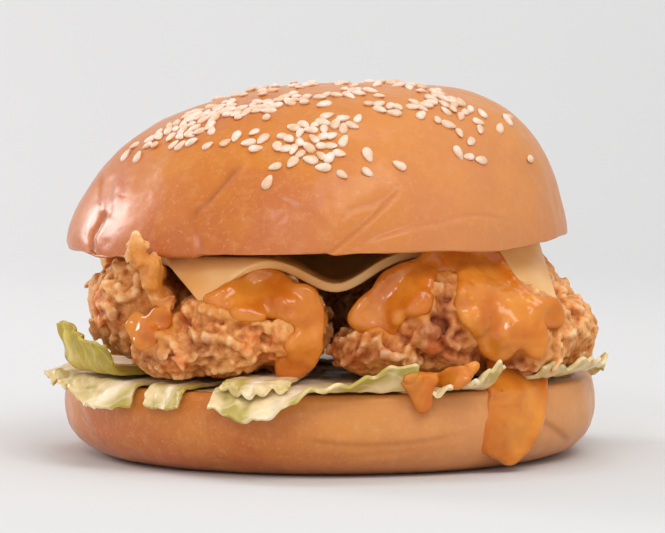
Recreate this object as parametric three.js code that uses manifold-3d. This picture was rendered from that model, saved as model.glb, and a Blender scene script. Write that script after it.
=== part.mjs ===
// A fried chicken burger in a seeded brioche bun, at its real size in millimetres.
// X runs to the right of the shown front, Y to the back and Z up. The origin is the
// middle of the flat base of the bottom bun, which stands on Z = 0.
import * as THREE from "three";
import { mergeVertices } from "three/addons/utils/BufferGeometryUtils.js";
import Module from "manifold-3d";

const wasm = await Module();
wasm.setup();

// Driving dimensions
const GAP = 0.3; // free space left between two pieces that touch
const BOTTOM_BUN = { radius: 53, flatRadius: 40, waist: 10.5, cut: 16, edgePower: 2.3 };
const TOP_BUN = { radius: 50, centreX: -3, apexX: 5, apex: 73.6, rim: 42.2, tilt: 0.035, lip: 1.3 };
const DOME_CURVE = { crown: 3.35, lean: 0.75, side: 1.6 }; // powers of its curve
const SEED = { length: 3.1, width: 1.9, height: 1.1, spacing: 1.9 };
const CHEESE = { side: 80, thickness: 1.9, turn: THREE.MathUtils.degToRad(18), middle: [-1, 3.4] };
const CHEESE_FOLD = { middle: [-1, 2], start: 44.5, bend: 3.2, steepest: 1.32 };
const CHEESE_SLUMP = { toward: THREE.MathUtils.degToRad(-24), start: 6.5, steepest: 0.45 };
const CHEESE_SAG = { x: 1.5, width: 8.5, depth: 6 };
const LEAF = { thickness: 1.0, layer: 1.5 };
const CHICKEN_FLOOR = 18;
const SAUCE = { thickness: 2.0, drip: 1.7 };

// Colours of the real food
const COLOUR = {
  crust: 0xc98148, cheese: 0xeeb466, batter: 0xd0884a, lettuce: 0xc9c585,
};

// Random draws in a fixed order, and smooth noise from -1 to 1
function randomFrom(seed) {
  let state = seed;
  return () => {
    state = (1664525 * state + 1013904223) % 4294967296;
    return state / 4294967296;
  };
}

function corner(x, y, z) {
  const s = Math.sin(x * 127.1 + y * 311.7 + z * 74.7) * 43758.5453;
  return 2 * (s - Math.floor(s)) - 1;
}

function noise(x, y, z) {
  const [ix, iy, iz] = [Math.floor(x), Math.floor(y), Math.floor(z)];
  const ease = (t) => t * t * (3 - 2 * t);
  const [fx, fy, fz] = [ease(x - ix), ease(y - iy), ease(z - iz)];
  const mix = THREE.MathUtils.lerp;
  const edge = (dy, dz) => mix(corner(ix, iy + dy, iz + dz), corner(ix + 1, iy + dy, iz + dz), fx);
  return mix(mix(edge(0, 0), edge(1, 0), fy), mix(edge(0, 1), edge(1, 1), fy), fz);
}

// Solids and geometry
function solidOf(geometry) {
  const bare = geometry.index ? geometry.toNonIndexed() : geometry;
  const merged = mergeVertices(
    new THREE.BufferGeometry().setAttribute("position", bare.getAttribute("position")), 1e-4);
  return new wasm.Manifold(new wasm.Mesh({
    numProp: 3,
    vertProperties: Float32Array.from(merged.getAttribute("position").array),
    triVerts: Uint32Array.from(merged.index.array),
  }));
}

function geometryOf(solid) {
  const mesh = solid.getMesh();
  const geometry = new THREE.BufferGeometry();
  geometry.setAttribute("position", new THREE.BufferAttribute(mesh.vertProperties, 3));
  geometry.setIndex(new THREE.BufferAttribute(mesh.triVerts, 1));
  geometry.computeVertexNormals();
  return geometry;
}

// Keeps the largest body of a cut solid and drops loose scraps.
function largest(solid) {
  return solid.decompose().reduce((a, b) => (a.volume() > b.volume() ? a : b));
}

// A sphere whose points are put where pointAt says, from its angle about Z and its height 0 to 1.
function shapedSphere(around, up, pointAt) {
  const geometry = new THREE.SphereGeometry(1, around, up);
  const uv = geometry.getAttribute("uv");
  const position = geometry.getAttribute("position");
  for (let i = 0; i < position.count; i++) {
    const angle = 2 * Math.PI * (uv.getX(i) % 1);
    const ring = Math.round(uv.getY(i) * up);
    const turn = ring === 0 || ring === up ? 0 : angle;
    position.setXYZ(i, ...pointAt(turn, ring / up));
  }
  return geometry;
}

// A thin sheet of the given thickness on the surface at(u, v), both faces split alike.
function sheet(across, along, thickness, at) {
  const step = 1e-3;
  const points = [];
  for (const side of [0.5, -0.5]) {
    for (let j = 0; j <= along; j++) {
      for (let i = 0; i <= across; i++) {
        const [u, v] = [i / across, j / along];
        const p = new THREE.Vector3(...at(u, v));
        const du = new THREE.Vector3(...at(u + step, v)).sub(p);
        const dv = new THREE.Vector3(...at(u, v + step)).sub(p);
        points.push(...p.addScaledVector(du.cross(dv).normalize(), side * thickness).toArray());
      }
    }
  }
  const row = across + 1;
  const layer = row * (along + 1);
  const faces = [];
  for (let j = 0; j < along; j++) {
    for (let i = 0; i < across; i++) {
      const a = j * row + i;
      const [b, c, d] = [a + 1, a + row + 1, a + row];
      faces.push(a, b, c, a, c, d, a + layer, c + layer, b + layer, a + layer, d + layer, c + layer);
    }
  }
  const wall = (a, b) => faces.push(a, a + layer, b + layer, a, b + layer, b);
  for (let i = 0; i < across; i++) {
    wall(i, i + 1);
    wall(along * row + i + 1, along * row + i);
  }
  for (let j = 0; j < along; j++) {
    wall((j + 1) * row, j * row);
    wall(j * row + across, (j + 1) * row + across);
  }
  const geometry = new THREE.BufferGeometry();
  geometry.setAttribute("position", new THREE.Float32BufferAttribute(points, 3));
  geometry.setIndex(faces);
  return geometry;
}

// Bottom bun: a flat base, a rounded edge up to the waist and a cut face on top
function bottomBun(grow = 0) {
  const { waist, cut, edgePower } = BOTTOM_BUN;
  const [radius, flatRadius] = [BOTTOM_BUN.radius + grow, BOTTOM_BUN.flatRadius + grow];
  const profile = [new THREE.Vector2(0, 0), new THREE.Vector2(flatRadius / 2, 0)];
  const steps = 5;
  for (let i = 0; i <= steps; i++) {
    const a = (i / steps) * (Math.PI / 2);
    profile.push(new THREE.Vector2(
      flatRadius + (radius - flatRadius) * Math.sin(a) ** (2 / edgePower),
      waist * (1 - Math.cos(a) ** (2 / edgePower))));
  }
  profile.push(new THREE.Vector2(radius - 0.3, cut - 2), new THREE.Vector2(radius - 1, cut - 0.5));
  profile.push(new THREE.Vector2(radius - 2.2, cut), new THREE.Vector2(radius / 2, cut));
  profile.push(new THREE.Vector2(0, cut));
  const geometry = new THREE.LatheGeometry(profile, 36).rotateX(Math.PI / 2);
  const position = geometry.getAttribute("position");
  for (let i = 0; i < position.count; i++) {
    const [x, y, z] = [position.getX(i), position.getY(i), position.getZ(i)];
    const share = Math.min(1, Math.max(0, (Math.hypot(x, y) - flatRadius) / (radius - flatRadius)));
    const swell = 1 + 0.013 * share * noise(x / 22, y / 22, 3.5);
    position.setXYZ(i, x * swell, y * swell, z);
  }
  return solidOf(geometry);
}

// Top bun: a lopsided dome, steep on the right and sloping on the left
function cutFace(x) {
  return TOP_BUN.rim + 0.4 + TOP_BUN.tilt * x;
}

function domeOutline(angle) {
  const offset = TOP_BUN.apexX - TOP_BUN.centreX;
  const c = offset * Math.cos(angle);
  return Math.sqrt(c * c - offset * offset + TOP_BUN.radius ** 2) - c + 0.5 * Math.sin(3 * angle + 1);
}

function rimHeight(angle) {
  const lift = Math.exp(-(((angle - Math.PI) / 0.3) ** 2));
  const x = TOP_BUN.apexX + domeOutline(angle) * Math.cos(angle);
  return TOP_BUN.rim + TOP_BUN.tilt * x + 2 * lift;
}

// Soft hollows pressed into the dome: x, y, radius and depth
const HOLLOWS = [[-43, -27, 9, 1.6], [33, -33, 14, 1.3], [14, 34, 16, 1.5], [-34, 26, 13, 1.2]];

function hollowAt(x, y) {
  return HOLLOWS.reduce(
    (sum, [hx, hy, r, depth]) => sum + depth * Math.exp(-((x - hx) ** 2 + (y - hy) ** 2) / (r * r)), 0);
}

function crownPower(angle) {
  return DOME_CURVE.crown + DOME_CURVE.lean * Math.cos(angle);
}

// Height of the dome over the point x, y
function domeHeight(x, y) {
  const angle = (Math.atan2(y, x - TOP_BUN.apexX) + 2 * Math.PI) % (2 * Math.PI);
  const share = Math.min(1, Math.hypot(x - TOP_BUN.apexX, y) / domeOutline(angle));
  const rise = (1 - share ** crownPower(angle)) ** (1 / DOME_CURVE.side);
  const rim = rimHeight(angle);
  return rim + (TOP_BUN.apex - rim) * rise - hollowAt(x, y) * share;
}

function topBun() {
  const { apexX, apex, lip } = TOP_BUN;
  const domeShare = 0.72; // share of the rings that make the dome, the rest make the lip and cut face
  return solidOf(shapedSphere(40, 16, (angle, height) => {
    const outline = domeOutline(angle);
    const at = (r) => [apexX + r * Math.cos(angle), r * Math.sin(angle)];
    if (height > 1 - domeShare) {
      const a = ((height - (1 - domeShare)) / domeShare) * (Math.PI / 2);
      const rim = rimHeight(angle);
      const share = Math.cos(a) ** (2 / crownPower(angle));
      const [x, y] = at(outline * share);
      return [x, y, rim + (apex - rim) * Math.sin(a) ** (2 / DOME_CURVE.side) - hollowAt(x, y) * share];
    }
    const inward = height / (1 - domeShare);
    const [x, y] = at((outline - lip * (1 - inward ** 4)) * inward ** 0.7);
    const face = cutFace(x);
    return [x, y, inward > 0.9 ? Math.min(face, rimHeight(angle)) : face];
  }));
}

// Sesame seeds in clusters on the dome: middle x, y, spread x, y and count
const SEED_CLUSTERS = [
  [-38.9, -13.6, 1.2, 1.6, 2], [-34.5, -18.2, 1.2, 1.4, 3], [-32.2, -17.2, 1, 1.9, 2],
  [-27.9, -19.8, 1.9, 4.6, 8], [-23.5, -27.7, 1.3, 1.6, 4], [-19.5, -33.5, 0.9, 1, 2],
  [-15.2, -36.2, 0.9, 1, 2], [-22.4, -18.9, 1.8, 2.9, 5], [-17.4, -25.2, 1.5, 2, 4],
  [-12.7, -24.9, 1.8, 2.3, 5], [-7.5, -23.7, 2.1, 2.2, 5], [-2.1, -27, 1.5, 2, 3],
  [-3.7, -40, 3.9, 2.5, 18], [3.9, -35, 1.2, 1.3, 3], [3.9, -23.9, 1.5, 2.6, 3], [9.1, -22.3, 1.1, 1.9, 2],
  [10.4, -29.7, 2.1, 1.1, 4], [16.4, -27.5, 1.3, 1.6, 4], [24.3, -20.6, 2.5, 2.5, 9], [35, -11.4, 1, 2, 2],
  [19.5, -14, 6, 3.5, 3], [0, -10, 14, 5, 3], [-2, 14, 20, 12, 6], [-20, 24, 8, 7, 3], [20, 25, 9, 7, 3],
];
// Seeds that lie apart: x and y
const SINGLE_SEEDS = [
  [-28.7, -28.3], [-26.5, -29.6], [-23.3, -33.5], [-12.7, -37.2], [-14, -38.9], [-12.1, -30.7],
  [-11.7, -45], [2.3, -44.8], [-0.5, -33.8], [19.4, -23.7], [20.6, -29.2], [22.7, -29], [24.8, -29],
  [27, -28.7], [24.5, -33.1], [26.5, -32], [28.9, -30.3], [33, -18.8], [38.9, -17.5], [7.2, -41.6],
  [7.1, -43.8], [13.1, -41.3],
];

function seedPlaces() {
  const random = randomFrom(20260);
  const places = SINGLE_SEEDS.map(([x, y]) => ({ x, y, turn: 2 * Math.PI * random() }));
  for (const [cx, cy, sx, sy, count] of SEED_CLUSTERS) {
    for (let n = 0; n < count; n++) {
      for (let tries = 0; tries < 25; tries++) {
        const x = cx + sx * (random() + random() + random() - 1.5) * 1.4;
        const y = cy + sy * (random() + random() + random() - 1.5) * 1.4;
        const turn = 2 * Math.PI * random();
        if (places.every((p) => Math.hypot(p.x - x, p.y - y) > SEED.spacing)) {
          places.push({ x, y, turn });
          break;
        }
      }
    }
  }
  return places;
}

function seedSolid({ x, y, turn }) {
  const geometry = new THREE.SphereGeometry(1, 4, 3).rotateX(Math.PI / 2);
  const position = geometry.getAttribute("position");
  for (let i = 0; i < position.count; i++) {
    const taper = 1 - 0.25 * position.getX(i);
    position.setY(i, position.getY(i) * taper);
  }
  geometry.scale(SEED.length / 2, SEED.width / 2, SEED.height / 2).rotateZ(turn);
  const slope = 0.05;
  const normal = new THREE.Vector3(
    domeHeight(x - slope, y) - domeHeight(x + slope, y),
    domeHeight(x, y - slope) - domeHeight(x, y + slope), 2 * slope).normalize();
  geometry.applyQuaternion(new THREE.Quaternion().setFromUnitVectors(new THREE.Vector3(0, 0, 1), normal));
  const foot = new THREE.Vector3(x, y, domeHeight(x, y)).addScaledVector(normal, 0.2 * SEED.height);
  return solidOf(geometry.translate(foot.x, foot.y, foot.z));
}

// Cheese slice: square, its corners hang over the filling, its front edge sags at the gap and
// its right side slumps onto the shoulder of the chicken
function cheeseSolid(grow = 0) {
  const half = CHEESE.side / 2 + grow;
  const [c, s] = [Math.cos(CHEESE.turn), Math.sin(CHEESE.turn)];
  const level = (x) => cutFace(x) - GAP - CHEESE.thickness / 2;
  const at = (u, v) => {
    const [p, q] = [(2 * u - 1) * half, (2 * v - 1) * half];
    const x = CHEESE.middle[0] + p * c - q * s;
    const y = CHEESE.middle[1] + p * s + q * c;
    const [foldX, foldY] = CHEESE_FOLD.middle;
    const r = Math.hypot(x - foldX, y - foldY);
    const slump = Math.max(0, Math.cos(Math.atan2(y - foldY, x - foldX) - CHEESE_SLUMP.toward)) ** 4;
    const start = CHEESE_FOLD.start - CHEESE_SLUMP.start * slump;
    const steepest = CHEESE_FOLD.steepest - CHEESE_SLUMP.steepest * slump;
    const over = Math.max(0, r - start);
    const angle = Math.min(steepest, over / CHEESE_FOLD.bend);
    const straight = Math.max(0, over - steepest * CHEESE_FOLD.bend);
    const out = CHEESE_FOLD.bend * Math.sin(angle) + straight * Math.cos(steepest);
    const down = CHEESE_FOLD.bend * (1 - Math.cos(angle)) + straight * Math.sin(steepest);
    const scale = over > 0 ? (start + out) / r : 1;
    const front = THREE.MathUtils.smoothstep(-y, 8, 40);
    const sag = CHEESE_SAG.depth * front * Math.exp(-(((x - CHEESE_SAG.x) / CHEESE_SAG.width) ** 2));
    const foldedX = foldX + (x - foldX) * scale;
    return [foldedX, foldY + (y - foldY) * scale, level(foldedX) - down - sag - 0.1];
  };
  return solidOf(sheet(10, 10, CHEESE.thickness + 2 * grow, at));
}

// Fried chicken: lumps of craggy batter, each x, y, z and its three radii
const CHICKEN_LEFT = [
  [-34.5, -21, 30.5, 12, 14, 11.5], [-31, 6, 30, 17, 19, 11], [-24, 29, 30, 19, 16, 11],
  [-11, 14, 28.5, 13, 21, 10],
];
const CHICKEN_FRONT = [
  [-29, -33, 24, 9.5, 12.5, 6.8], [-19, -35, 26.5, 12, 13, 9], [-8.5, -32, 28, 8.6, 14.5, 10.4],
];
const CHICKEN_RIGHT = [
  [10.5, -33, 23.5, 11, 13, 6.2], [21, -31, 29, 12.5, 16, 11], [35, -23, 25.5, 13, 18, 10],
  [43.5, -9, 25.5, 8.8, 15, 8], [32, 12, 29, 16, 20, 11.5], [22, 30, 29, 18, 15, 11],
  [11, 10, 28, 12, 22, 10],
];

// A shard of batter that stands up in front of the top bun's rim, written the same way
const SHARD = [
  [-32.5, -36.5, 33.5, 3, 6, 3.2], [-33.2, -41.6, 38, 2.3, 2.2, 4], [-35.4, -42.4, 42.6, 1.9, 1.6, 3.9],
];

function shardSolid() {
  return wasm.Manifold.union(SHARD.map(([x, y, z, ...radii]) =>
    solidOf(new THREE.SphereGeometry(1, 8, 6).scale(...radii).translate(x, y, z))));
}

function lump([cx, cy, cz, rx, ry, rz], grow) {
  const geometry = new THREE.IcosahedronGeometry(1, cy < -20 ? 3 : 2);
  const position = geometry.getAttribute("position");
  for (let i = 0; i < position.count; i++) {
    const [dx, dy, dz] = [position.getX(i), position.getY(i), position.getZ(i)];
    const [px, py, pz] = [cx + dx * rx, cy + dy * ry, cz + dz * rz];
    const crags = 1.3 * noise(px / 5, py / 5, pz / 5) + 0.8 * noise(px / 2.6, py / 2.6, pz / 2.6);
    const size = Math.cbrt(rx * ry * rz);
    const swell = 1 + crags / size + grow / Math.min(rx, ry, rz);
    const [x, y, z] = [cx + dx * rx * swell, cy + dy * ry * swell, cz + dz * rz * swell];
    const ceiling = cutFace(x) - GAP - 0.1 + grow;
    position.setXYZ(i, x, y, THREE.MathUtils.clamp(z, CHICKEN_FLOOR - grow, ceiling));
  }
  return solidOf(geometry);
}

function chickenSolid(lumps, grow = 0) {
  return wasm.Manifold.union(lumps.map((l) => lump(l, grow)));
}

// Lettuce: each leaf has a sector in degrees, its inner reach and its reach at the start, at
// the tip and at the end of the sector, where the tip is, a layer of the bed, the droop of its
// edge in radians at start and end, and the height, count and phase of its waves.
const LEAVES = {
  lettuce_blade: {
    sector: [198, 220], reach: [20, 61, 62, 56], tip: 0.15, layer: 1, droop: [-1.5, -1.0],
    wave: [0.7, 1.5, 0.4],
  },
  lettuce_left: {
    sector: [194, 226], reach: [15, 56, 59, 57], tip: 0.75, layer: 0, droop: [0.2, 1.1],
    wave: [1.5, 2.5, 1.1],
  },
  lettuce_chip: {
    sector: [230, 239], reach: [24, 57, 57.4, 57.2], tip: 0.5, layer: 0, droop: [1.2, 1.2],
    wave: [0.4, 1, 2.0],
  },
  lettuce_chunk: {
    sector: [248, 262], reach: [26, 55.5, 57, 55], tip: 0.4, layer: 1, droop: [0.5, 0.4],
    wave: [0.5, 1.5, 0.9],
  },
  lettuce_front: {
    sector: [246, 287], reach: [15, 55, 61, 58], tip: 0.3, layer: 0, droop: [1.25, -1.0],
    wave: [1.4, 2.5, 0.3],
  },
  lettuce_right: {
    sector: [288, 305], reach: [18, 54, 58.5, 58], tip: 0.6, layer: 0, droop: [0.6, -0.2],
    wave: [1.9, 2, 2.8],
  },
  lettuce_far_right: {
    sector: [318, 350], reach: [17, 55, 56.5, 55], tip: 0.7, layer: 0.6, droop: [-0.8, -0.3],
    wave: [1.0, 2, 1.4],
  },
  lettuce_back_right: {
    sector: [10, 55], reach: [15, 56, 59, 57], tip: 0.4, layer: 0, droop: [0.5, 1.0],
    wave: [1.6, 3, 0.9],
  },
  lettuce_back: {
    sector: [60, 106], reach: [15, 56, 59, 55], tip: 0.6, layer: 0, droop: [1.1, 0.8],
    wave: [1.5, 3, 2.2],
  },
  lettuce_back_left: {
    sector: [111, 147], reach: [15, 55, 58, 55], tip: 0.3, layer: 0, droop: [0.4, 0.9],
    wave: [1.8, 2.5, 0.2],
  },
  lettuce_side: {
    sector: [153, 188], reach: [15, 55, 58, 56], tip: 0.5, layer: 0, droop: [0.9, 0.5],
    wave: [1.5, 2.5, 1.7],
  },
};
const LEAF_FOLD = { start: 51.5, bend: 2.8, flatShare: 0.34 };

function leafSolid({ sector, reach, tip, layer, droop, wave }, grow = 0) {
  const [height, count, phase] = wave;
  const { start, bend, flatShare } = LEAF_FOLD;
  const bed = BOTTOM_BUN.cut + GAP + LEAF.thickness / 2 + 0.15 + layer * LEAF.layer;
  const mix = THREE.MathUtils.lerp;
  const at = (u, v) => {
    const angle = THREE.MathUtils.degToRad(mix(sector[0], sector[1], u));
    const edge = mix(reach[1], reach[3], u);
    const peak = Math.exp(-(((u - tip) / 0.3) ** 2));
    const end = edge + (reach[2] - edge) * peak + 0.9 * noise(angle * 9, layer * 5, phase);
    const flat = Math.min(1, v / flatShare);
    const free = Math.max(0, (v - flatShare) / (1 - flatShare));
    const over = (end - start) * free;
    const lean = mix(droop[0], droop[1], u);
    const turn = Math.abs(lean);
    const curve = Math.min(turn, over / bend);
    const straight = Math.max(0, over - turn * bend);
    const out = bend * Math.sin(curve) + straight * Math.cos(turn);
    const fall = bend * (1 - Math.cos(curve)) + straight * Math.sin(turn);
    const ripple = 0.5 * height * (1 + Math.sin(2 * Math.PI * count * u + phase)) * free;
    const r = mix(reach[0], start, flat) + out + ripple * Math.sin(turn);
    const z = bed - Math.sign(lean) * fall + ripple * Math.cos(turn);
    return [r * Math.cos(angle), r * Math.sin(angle), z];
  };
  return solidOf(sheet(7, 4, LEAF.thickness + 2 * grow, at));
}

// Sauce: its outline as seen from the front, in x and z, cut out of a skin over what it lies on
const SAUCE_RIGHT = [
  [18.5, 42.3], [24, 44], [28.6, 43], [32.5, 39.7], [37, 35.9], [41.5, 32.2], [43.6, 31], [43.5, 28],
  [40.6, 25], [39, 20.7], [37.6, 20.7], [36, 24.6], [33.6, 22.2], [30.6, 22.1], [28.2, 26.5],
  [25.3, 30.4], [25, 36.8], [23.4, 40.5], [20.4, 40.2], [18.6, 37.2], [18.2, 33.4], [14.8, 31.8],
  [11.6, 29.8], [9.4, 27.8], [7.6, 28.8], [4.6, 28.2], [1.8, 28.8], [5.4, 34.8], [8.6, 37.8],
  [13.6, 39.6], [16.6, 40.2],
];
const SAUCE_FRONT = [
  [-18.9, 35.4], [-15.4, 37.6], [-10, 38.4], [-4.4, 36.6], [-2, 31.8], [-2.4, 26.4], [-4.2, 21.9],
  [-8.4, 19.4], [-7.8, 23], [-9.2, 26.3], [-8, 28.6], [-12.6, 30.4], [-17.8, 31.8],
];
const SAUCE_WIDE_DRIP = [
  [29.8, 15.6], [29.2, 10], [28, 4.4], [31, 1.4], [35, 0.9], [38, 3], [40, 9], [41, 15.6],
];
const SAUCE_SMALL_DRIP = [[15, 15.6], [15.4, 12.6], [16.6, 10.8], [18.4, 10.8], [19.4, 12.8], [19.8, 15.6]];

function frontOutline(points) {
  const curve = new THREE.CatmullRomCurve3(points.map(([x, z]) => new THREE.Vector3(x, z, 0)), true);
  const outline = curve.getPoints(points.length).slice(0, -1).map((p) => new THREE.Vector2(p.x, p.y));
  const depth = 62; // from clear in front of the burger back to its middle
  const geometry = new THREE.ExtrudeGeometry(new THREE.Shape(outline), { depth, bevelEnabled: false });
  return solidOf(geometry.rotateX(Math.PI / 2));
}

// The nodes
const burger = new THREE.Group();

function addNode(name, solid, colour, roughness) {
  const material = new THREE.MeshStandardMaterial({ color: colour, roughness, metalness: 0 });
  const mesh = new THREE.Mesh(geometryOf(largest(solid)), material);
  mesh.name = name;
  burger.add(mesh);
}

const leaves = Object.entries(LEAVES);
const grownLeaves = wasm.Manifold.union(leaves.map(([, leaf]) => leafSolid(leaf, GAP)));
const grownCheese = cheeseSolid(GAP);
const clear = (solid) => solid.subtract(grownLeaves).subtract(grownCheese);

// Sauce on chicken: a smooth coat over the lumps, inside an outline seen from the front
function coat(lumps, outline, grow) {
  const smooth = lumps.map(([x, y, z, rx, ry, rz]) => {
    const t = SAUCE.thickness + grow;
    return solidOf(new THREE.IcosahedronGeometry(1, 2).scale(rx + t, ry + t, rz + t).translate(x, y, z));
  });
  return wasm.Manifold.union(smooth).intersect(frontOutline(outline));
}

function saucedChicken(lumps, outline, grow = 0) {
  return chickenSolid(lumps, grow).add(coat(lumps.filter(([, y]) => y < -20), outline, grow));
}

const front = saucedChicken(CHICKEN_FRONT, SAUCE_FRONT);
const grownFront = saucedChicken(CHICKEN_FRONT, SAUCE_FRONT, GAP);
const right = saucedChicken(CHICKEN_RIGHT, SAUCE_RIGHT).subtract(grownFront);
const grownRight = saucedChicken(CHICKEN_RIGHT, SAUCE_RIGHT, GAP);
const left = chickenSolid(CHICKEN_LEFT).add(shardSolid()).subtract(grownFront).subtract(grownRight);
const drips = [SAUCE_WIDE_DRIP, SAUCE_SMALL_DRIP].map(
  (outline) => bottomBun(SAUCE.drip).intersect(frontOutline(outline)));
const seeds = wasm.Manifold.union(seedPlaces().map(seedSolid));

const bottom = wasm.Manifold.union([bottomBun(), ...drips]).subtract(grownLeaves);

addNode("bun_bottom", bottom, COLOUR.crust, 0.45);
for (const [name, leaf] of leaves) addNode(name, leafSolid(leaf), COLOUR.lettuce, 0.5);
addNode("chicken_front", clear(front), COLOUR.batter, 0.6);
addNode("chicken_left", clear(left), COLOUR.batter, 0.6);
addNode("chicken_right", clear(right), COLOUR.batter, 0.6);
addNode("cheese", cheeseSolid(), COLOUR.cheese, 0.4);
addNode("bun_top", topBun().add(seeds), COLOUR.crust, 0.35);

export default burger;
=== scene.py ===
# A fried chicken burger in a seeded brioche bun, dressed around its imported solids.
# X runs to the right of the shown front, Y to the back and Z up. Shapes are worked out in
# millimetres and turned to metres when a mesh is written.
import math

import bpy
import numpy as np
from mathutils import Matrix, Quaternion, Vector, noise
from mathutils.bvhtree import BVHTree


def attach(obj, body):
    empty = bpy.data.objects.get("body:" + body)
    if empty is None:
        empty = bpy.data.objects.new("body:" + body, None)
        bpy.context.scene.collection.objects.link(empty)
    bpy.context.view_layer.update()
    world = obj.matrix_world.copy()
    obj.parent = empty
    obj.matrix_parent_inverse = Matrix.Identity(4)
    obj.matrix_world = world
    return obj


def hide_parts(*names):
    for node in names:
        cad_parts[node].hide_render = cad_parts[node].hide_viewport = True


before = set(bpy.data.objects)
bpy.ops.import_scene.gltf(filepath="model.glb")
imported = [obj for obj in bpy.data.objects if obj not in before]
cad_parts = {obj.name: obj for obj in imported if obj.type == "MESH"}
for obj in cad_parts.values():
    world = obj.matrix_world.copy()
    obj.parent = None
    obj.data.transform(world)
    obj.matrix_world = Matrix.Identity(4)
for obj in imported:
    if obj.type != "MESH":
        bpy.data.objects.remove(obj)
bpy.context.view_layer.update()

MM = 0.001  # one millimetre in metres

# Driving dimensions, in millimetres, as in the part's source where it has them
GAP = 0.3
BOTTOM_BUN = {
    "radius": 53, "flat": 40, "waist": 10.5, "cut": 16, "edge_power": 2.3, "rim_radius": 1.6, "slant": 0.5,
}
BASE_UNEVENNESS = {"share": 0.008, "bumps": 2.2}
TOP_BUN = {
    "radius": 50, "middle": -3, "apex_x": 5, "apex": 73.6, "rim": 42.2, "tilt": 0.035, "lip": 1.3,
    "recess": 0.4,
}
DOME_CURVE = {"crown": 3.35, "lean": 0.75, "side": 1.6}
DOME_WOBBLE = {"depth": 0.5, "turns": 3, "phase": 1}
# Where the rim of the top bun is raised: the angle, the spread of the rise and its height. The
# second rise is this scene's own.
RIM_RISES = [(math.pi, 0.3, 2), (3.85, 0.45, 1.1)]
# Shallow hollows in the crown: their middle in x and y, their radius and their depth
HOLLOWS = [(-43, -27, 9, 1.6), (33, -33, 14, 1.3), (14, 34, 16, 1.5), (-34, 26, 13, 1.2)]
SEED = {"length": 3.1, "width": 1.9, "height": 1.1, "spacing": 1.9}
CHEESE = {"side": 80, "thickness": 1.9, "slack": 0.2, "turn": math.radians(18), "middle": (-1, 3.4)}
CHEESE_WAVES = [(0.25, 12)]
CHEESE_FOLD = {"middle": (-1, 2), "start": 44.5, "bend": 3.2, "steepest": 1.32}
CHEESE_SLUMP = {"toward": math.radians(-24), "start": 6.5, "steepest": 0.45, "narrowness": 4}
CHEESE_SAG = {"x": 1.5, "width": 8.5, "depth": 6, "starts_at_y": 4, "full_after": 24}
CHICKEN_FLOOR = 18
# The lumps of each piece: the middle and the three radii of each
CHICKEN_LEFT = [
    (-34.5, -21, 30.5, 12, 14, 11.5), (-31, 6, 30, 17, 19, 11), (-24, 29, 30, 19, 16, 11),
    (-11, 14, 28.5, 13, 21, 10),
]
SHARD = [
    (-32.2, -36.5, 33.5, 3, 6, 3.2), (-33.6, -41.6, 38.2, 2.3, 2.2, 4), (-36.6, -42.4, 42.8, 1.8, 1.5, 3.8),
]
CHICKEN_FRONT = [
    (-29, -33, 24, 9.5, 12.5, 6.8), (-19, -35, 26.5, 12, 13, 9), (-8.5, -32, 28, 8.6, 14.5, 10.4),
]
CHICKEN_RIGHT = [
    (10.5, -33, 23.5, 11, 13, 6.2), (21, -31, 29, 12.5, 16, 11), (35, -23, 25.5, 13, 18, 10),
    (43.5, -9, 25.5, 8.8, 15, 8), (32, 12, 29, 16, 20, 11.5), (22, 30, 29, 18, 15, 11),
    (11, 10, 28, 12, 22, 10),
]

# The photograph's view: one pixel is 0.2 mm in the plane of the burger's middle
PHOTO_WIDTH = 665
PIXEL = 0.2
VIEW = {"distance": 800, "rise": math.radians(3.5), "aim": (0.5, 0, 37.12)}
SENSOR = 36


def make_camera():
    camera = bpy.data.objects.new("camera", bpy.data.cameras.new("camera"))
    bpy.context.scene.collection.objects.link(camera)
    camera.data.sensor_width = SENSOR
    camera.data.lens = SENSOR * VIEW["distance"] / (PHOTO_WIDTH * PIXEL)
    camera.data.clip_end = 10
    back = Vector((0, -math.cos(VIEW["rise"]), math.sin(VIEW["rise"])))
    camera.location = (Vector(VIEW["aim"]) + back * VIEW["distance"]) * MM
    camera.rotation_euler = back.to_track_quat("Z", "Y").to_euler()
    bpy.context.scene.camera = camera


make_camera()


# Helpers for pieces
def select_only(*pieces):
    bpy.ops.object.select_all(action="DESELECT")
    for piece in pieces:
        piece.select_set(True)
    bpy.context.view_layer.objects.active = pieces[0]


def settle(piece, name):
    """Turns, scale and place go into the mesh, and the object gets its name."""
    select_only(piece)
    bpy.ops.object.transform_apply(location=True, rotation=True, scale=True)
    piece.name = name
    piece.data.name = name
    return piece


def modify(piece, kind, **settings):
    modifier = piece.modifiers.new(kind.lower(), kind)
    for key, value in settings.items():
        setattr(modifier, key, value)
    select_only(piece)
    bpy.ops.object.modifier_apply(modifier=modifier.name)


def join(pieces):
    select_only(*pieces)
    bpy.ops.object.join()
    return pieces[0]


def copies_of(master, matrices):
    """One joined piece from a copy of the master's mesh at each matrix."""
    made = []
    for matrix in matrices:
        mesh = master.data.copy()
        mesh.transform(matrix)
        copy = bpy.data.objects.new("copy", mesh)
        bpy.context.scene.collection.objects.link(copy)
        made.append(copy)
    bpy.data.objects.remove(master)
    return join(made)


def points_of(piece):
    """Vertex places in millimetres, one row each."""
    flat = np.empty(len(piece.data.vertices) * 3)
    piece.data.vertices.foreach_get("co", flat)
    return flat.reshape(-1, 3) / MM


def put_points(piece, points):
    piece.data.vertices.foreach_set("co", (np.asarray(points) * MM).ravel())
    piece.data.update()


def normals_of(piece):
    flat = np.empty(len(piece.data.vertices) * 3)
    piece.data.vertices.foreach_get("normal", flat)
    return flat.reshape(-1, 3)


def shape(piece, place):
    """Moves every vertex to place(x, y, z), in millimetres."""
    put_points(piece, [place(*p) for p in points_of(piece)])


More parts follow.
